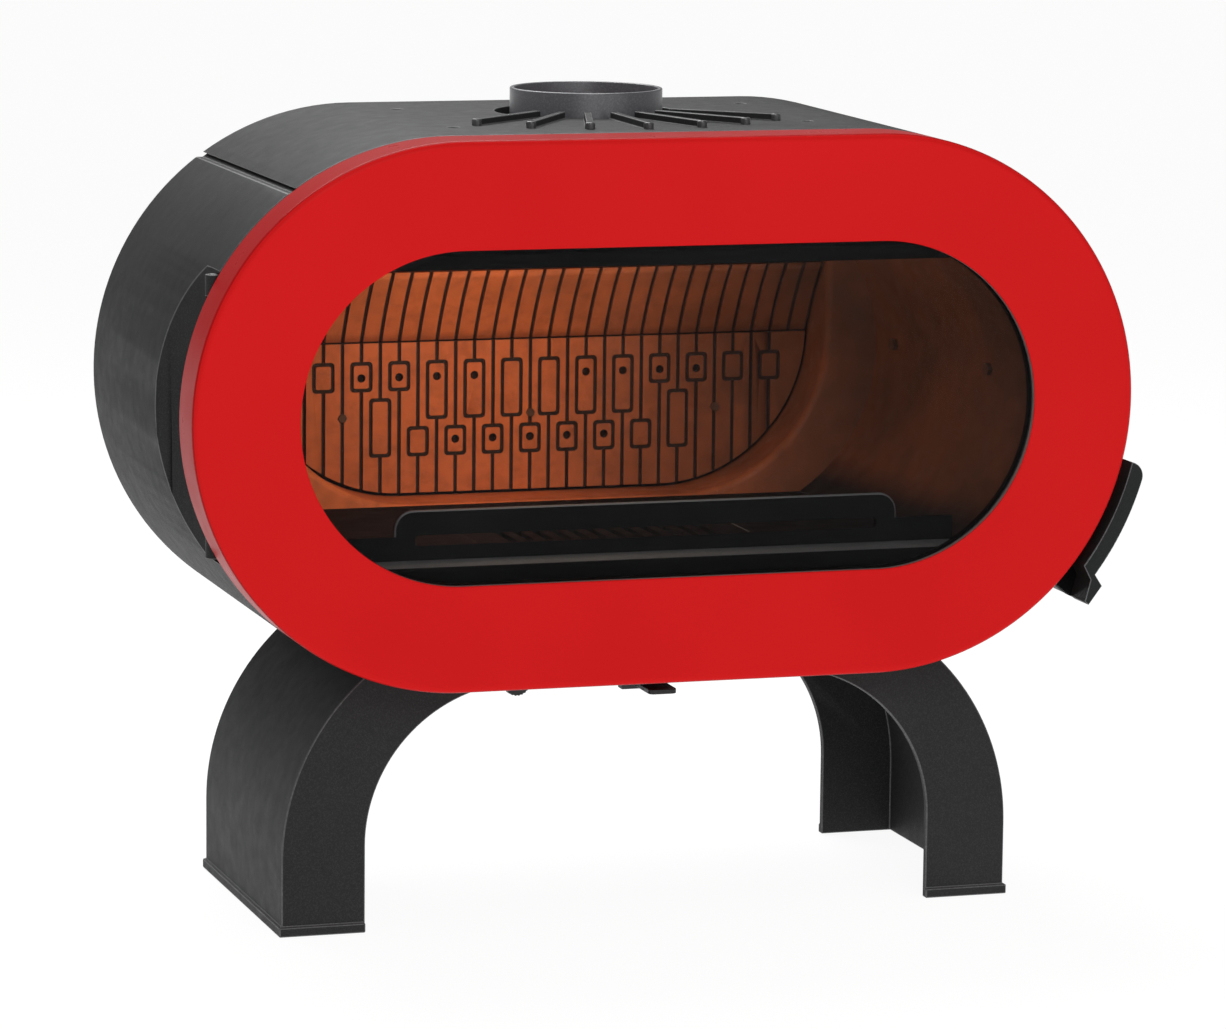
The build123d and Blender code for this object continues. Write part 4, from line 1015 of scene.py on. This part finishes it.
@dataclass
class AirKnob:
    """The fluted air knob."""

    shop: Workshop
    flutes: int = 24
    dip: float = 0.0009
    face_round: float = 0.0016

    def build(self) -> None:
        """Make a disc, flute its rim and soften its faces."""
        low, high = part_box("air_knob")
        centre = (low + high) / 2
        radius = (high.x - low.x) / 2
        shape = bmesh.new()
        matrix = Matrix.Translation(centre) @ Matrix.Rotation(math.radians(90), 4, "X")
        bmesh.ops.create_cone(
            shape,
            cap_ends=True,
            segments=self.flutes * 4,
            radius1=radius,
            radius2=radius,
            depth=high.y - low.y,
            matrix=matrix,
        )
        for vert in shape.verts:
            spoke = Vector((vert.co.x - centre.x, 0, vert.co.z - centre.z))
            wave = math.cos(self.flutes * math.atan2(spoke.z, spoke.x))
            vert.co -= spoke.normalized() * self.dip * (0.5 + 0.5 * wave)
        caps = [f for f in shape.faces if abs(f.normal.y) > ALONG_AXIS]
        bmesh.ops.bevel(
            shape,
            geom=[e for f in caps for e in f.edges],
            offset=self.face_round,
            segments=3,
            profile=0.5,
            affect="EDGES",
            material=-1,
        )
        self.shop.deliver(shape, "fluted_knob", Slot.BLACK, "air_valve", "air_knob", crease=40.0)
        self.shop.refine("valve_shaft", Slot.STEEL, "air_valve")


@dataclass
class Castings:
    """Body, legs and inner castings that keep the frame's shape."""

    shop: Workshop
    shells: tuple[str, ...] = (
        "top_shell",
        "left_side_shell",
        "right_side_shell",
        "bottom_shell",
        "latch_keeper",
    )
    legs: tuple[str, ...] = ("left_leg", "right_leg")
    fire: tuple[str, ...] = ("baffle_plate", "flue_throat")
    hearth: tuple[str, ...] = ("front_frame", "hearth_plate")
    bars: tuple[str, ...] = ("hearth_lip", "log_guard")
    plain: tuple[str, ...] = ("air_wash_bar", "fire_grate")

    def build(self) -> None:
        """Refine each casting."""
        for node in self.shells:
            self.shop.refine(node, Slot.BODY, "stove_body", edge=0.001)
        for node in self.legs:
            self.shop.refine(node, Slot.BODY, "stove_body", edge=0.0014)
        for node in self.fire:
            self.shop.refine(node, Slot.FIRE, "stove_body")
        self.shop.refine("rear_casting", Slot.REAR, "stove_body", outside=Slot.BODY)
        self.shop.refine("firebox_liner", Slot.LINER, "stove_body")
        self.shop.refine("fireback_lower", Slot.FIREBACK, "stove_body")
        self.shop.refine("fireback_upper", Slot.CROWN, "stove_body")
        for node in self.hearth:
            self.shop.refine(node, Slot.HEARTH, "stove_body", edge=0.001)
        for node in self.plain:
            self.shop.refine(node, Slot.HEARTH, "stove_body")
        for node in self.bars:
            self.shop.refine(node, Slot.HEARTH, "stove_body", rolled=True)
        self.shop.refine("door_frame", Slot.HEARTH, "door")


@dataclass
class Latch:
    """The handle with its shaft and tongue."""

    shop: Workshop

    def build(self) -> None:
        """Refine the handle's pieces."""
        self.shop.refine("door_handle", Slot.HANDLE, "handle", rolled=True)
        self.shop.refine("latch_shaft", Slot.STEEL, "handle")
        self.shop.refine("latch_tongue", Slot.HANDLE, "handle", edge=0.0006)


@dataclass
class Hardware:
    """Fasteners, air controls and sheet-metal pieces."""

    shop: Workshop
    steel: tuple[str, ...] = ("tie_rods", "rod_nuts", "leg_bolts", "hinge_pins")
    black: tuple[str, ...] = ("cover_plugs",)
    browned: tuple[str, ...] = ("fireback_screws", "liner_bolts")
    sheet: tuple[str, ...] = ("ash_pan", "air_box", "lever_guide")

    def build(self) -> None:
        """Refine each small piece."""
        for node in self.steel:
            self.shop.refine(node, Slot.STEEL, "stove_body")
        for node in self.black:
            self.shop.refine(node, Slot.BLACK, "stove_body")
        for node in self.browned:
            self.shop.refine(node, Slot.FIRE_STEEL, "stove_body")
        for node in self.sheet:
            self.shop.refine(node, Slot.SHEET, "stove_body", edge=0.0006)
        self.shop.refine("door_screws", Slot.STEEL, "door")
        self.shop.refine("air_lever", Slot.BLACK, "air_slide", edge=0.0007)


@dataclass(frozen=True)
class Lamp:
    """A soft square lamp that the camera doesn't see."""

    name: str
    spot: Point
    aim: Point
    size: float
    power: float
    colour: Point = (1.0, 1.0, 1.0)

    def hang(self) -> None:
        """Put the lamp in the scene, facing its aim."""
        light = bpy.data.lights.new(self.name, "AREA")
        light.size = self.size
        light.energy = self.power
        light.color = self.colour
        lamp = bpy.data.objects.new(self.name, light)
        lamp.location = self.spot
        facing = Vector(self.aim) - Vector(self.spot)
        lamp.rotation_euler = facing.to_track_quat("-Z", "Y").to_euler()
        lamp.visible_camera = False
        lamp.visible_glossy = self.size > BIG_LAMP
        bpy.context.scene.collection.objects.link(lamp)


@dataclass
class Studio:
    """Floor, lights, world and camera."""

    yaw: float = 0.30526
    pitch: float = -0.157779
    roll: float = 0.010364
    lens: float = 163.913
    sensor: float = 36.0
    sight: float = 200.0
    place: Point = (-1.745938, -5.600324, 1.324617)
    floor_size: float = 60.0
    floor_drop: float = 0.0005
    floor_grey: float = 0.12
    floor_glow: float = 0.93
    sky_glow: float = 0.3
    lamps: tuple[Lamp, ...] = (
        Lamp("key", (-0.5, -3.6, 2.7), (0.0, 0.0, 0.5), size=2.2, power=50.0),
        Lamp("fill", (1.8, -3.8, 1.4), (0.0, 0.0, 0.5), size=2.5, power=12.0),
        Lamp("top", (-0.2, 1.6, 3.0), (0.0, 0.1, 0.6), size=2.4, power=104.0),
        Lamp(
            "glow",
            (-0.12, -0.14, 0.64),
            (-0.06, 0.25, 0.46),
            size=0.16,
            power=1.85,
            colour=(1.0, 0.78, 0.56),
        ),
    )

    def build(self) -> None:
        """Set up everything around the stove."""
        self.floor()
        self.world()
        self.lights()
        self.camera()
        settings = bpy.context.scene.view_settings
        settings.view_transform = "Standard"
        settings.look = "None"

    def floor(self) -> None:
        """A plain white floor."""
        shape = bmesh.new()
        bmesh.ops.create_grid(shape, x_segments=1, y_segments=1, size=self.floor_size)
        bmesh.ops.translate(shape, verts=shape.verts[:], vec=(0, 0, -self.floor_drop))
        mesh = bpy.data.meshes.new("studio_floor")
        shape.to_mesh(mesh)
        shape.free()
        white = bpy.data.materials.new("studio_white")
        white.use_nodes = True
        principled = white.node_tree.nodes["Principled BSDF"]
        principled.inputs["Base Color"].default_value = grey(self.floor_grey)
        principled.inputs["Roughness"].default_value = 1.0
        principled.inputs["Specular IOR Level"].default_value = 0.0
        principled.inputs["Emission Color"].default_value = grey(1.0)
        principled.inputs["Emission Strength"].default_value = self.floor_glow
        mesh.materials.append(white)
        floor = bpy.data.objects.new("studio_floor", mesh)
        bpy.context.scene.collection.objects.link(floor)

    def world(self) -> None:
        """Even pale surroundings."""
        world = bpy.data.worlds.new("studio_air")
        world.use_nodes = True
        sky = world.node_tree.nodes["Background"]
        sky.inputs["Color"].default_value = grey(1.0)
        sky.inputs["Strength"].default_value = self.sky_glow
        bpy.context.scene.world = world

    def lights(self) -> None:
        """A large key in front, a fill, a strong top lamp and a warm glow in the firebox."""
        for lamp in self.lamps:
            lamp.hang()

    def camera(self) -> None:
        """The camera, turned by yaw, pitch and roll."""
        ahead = Vector(
            (
                math.sin(self.yaw) * math.cos(self.pitch),
                math.cos(self.yaw) * math.cos(self.pitch),
                math.sin(self.pitch),
            )
        )
        level = Vector((math.cos(self.yaw), -math.sin(self.yaw), 0.0))
        over = level.cross(ahead)
        right = level * math.cos(self.roll) + over * math.sin(self.roll)
        up = over * math.cos(self.roll) - level * math.sin(self.roll)
        data = bpy.data.cameras.new("camera")
        data.lens = self.lens
        data.sensor_width = self.sensor
        data.sensor_fit = "HORIZONTAL"
        data.clip_end = self.sight
        camera = bpy.data.objects.new("camera", data)
        turn = Matrix((right, up, -ahead)).transposed().to_4x4()
        camera.matrix_world = Matrix.Translation(self.place) @ turn
        bpy.context.scene.collection.objects.link(camera)
        bpy.context.scene.camera = camera


def main() -> None:
    """Build the stove's looks on the frame."""
    logging.basicConfig(level=logging.INFO, format="%(name)s %(message)s")
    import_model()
    finishes = Finishes()
    finishes.build()
    shop = Workshop(finishes)
    for assembly in (DoorRing, Collar, FinHeads, AirKnob, Castings, Latch, Hardware):
        assembly(shop).build()
    Studio().build()


if __name__ == "__main__":
    main()
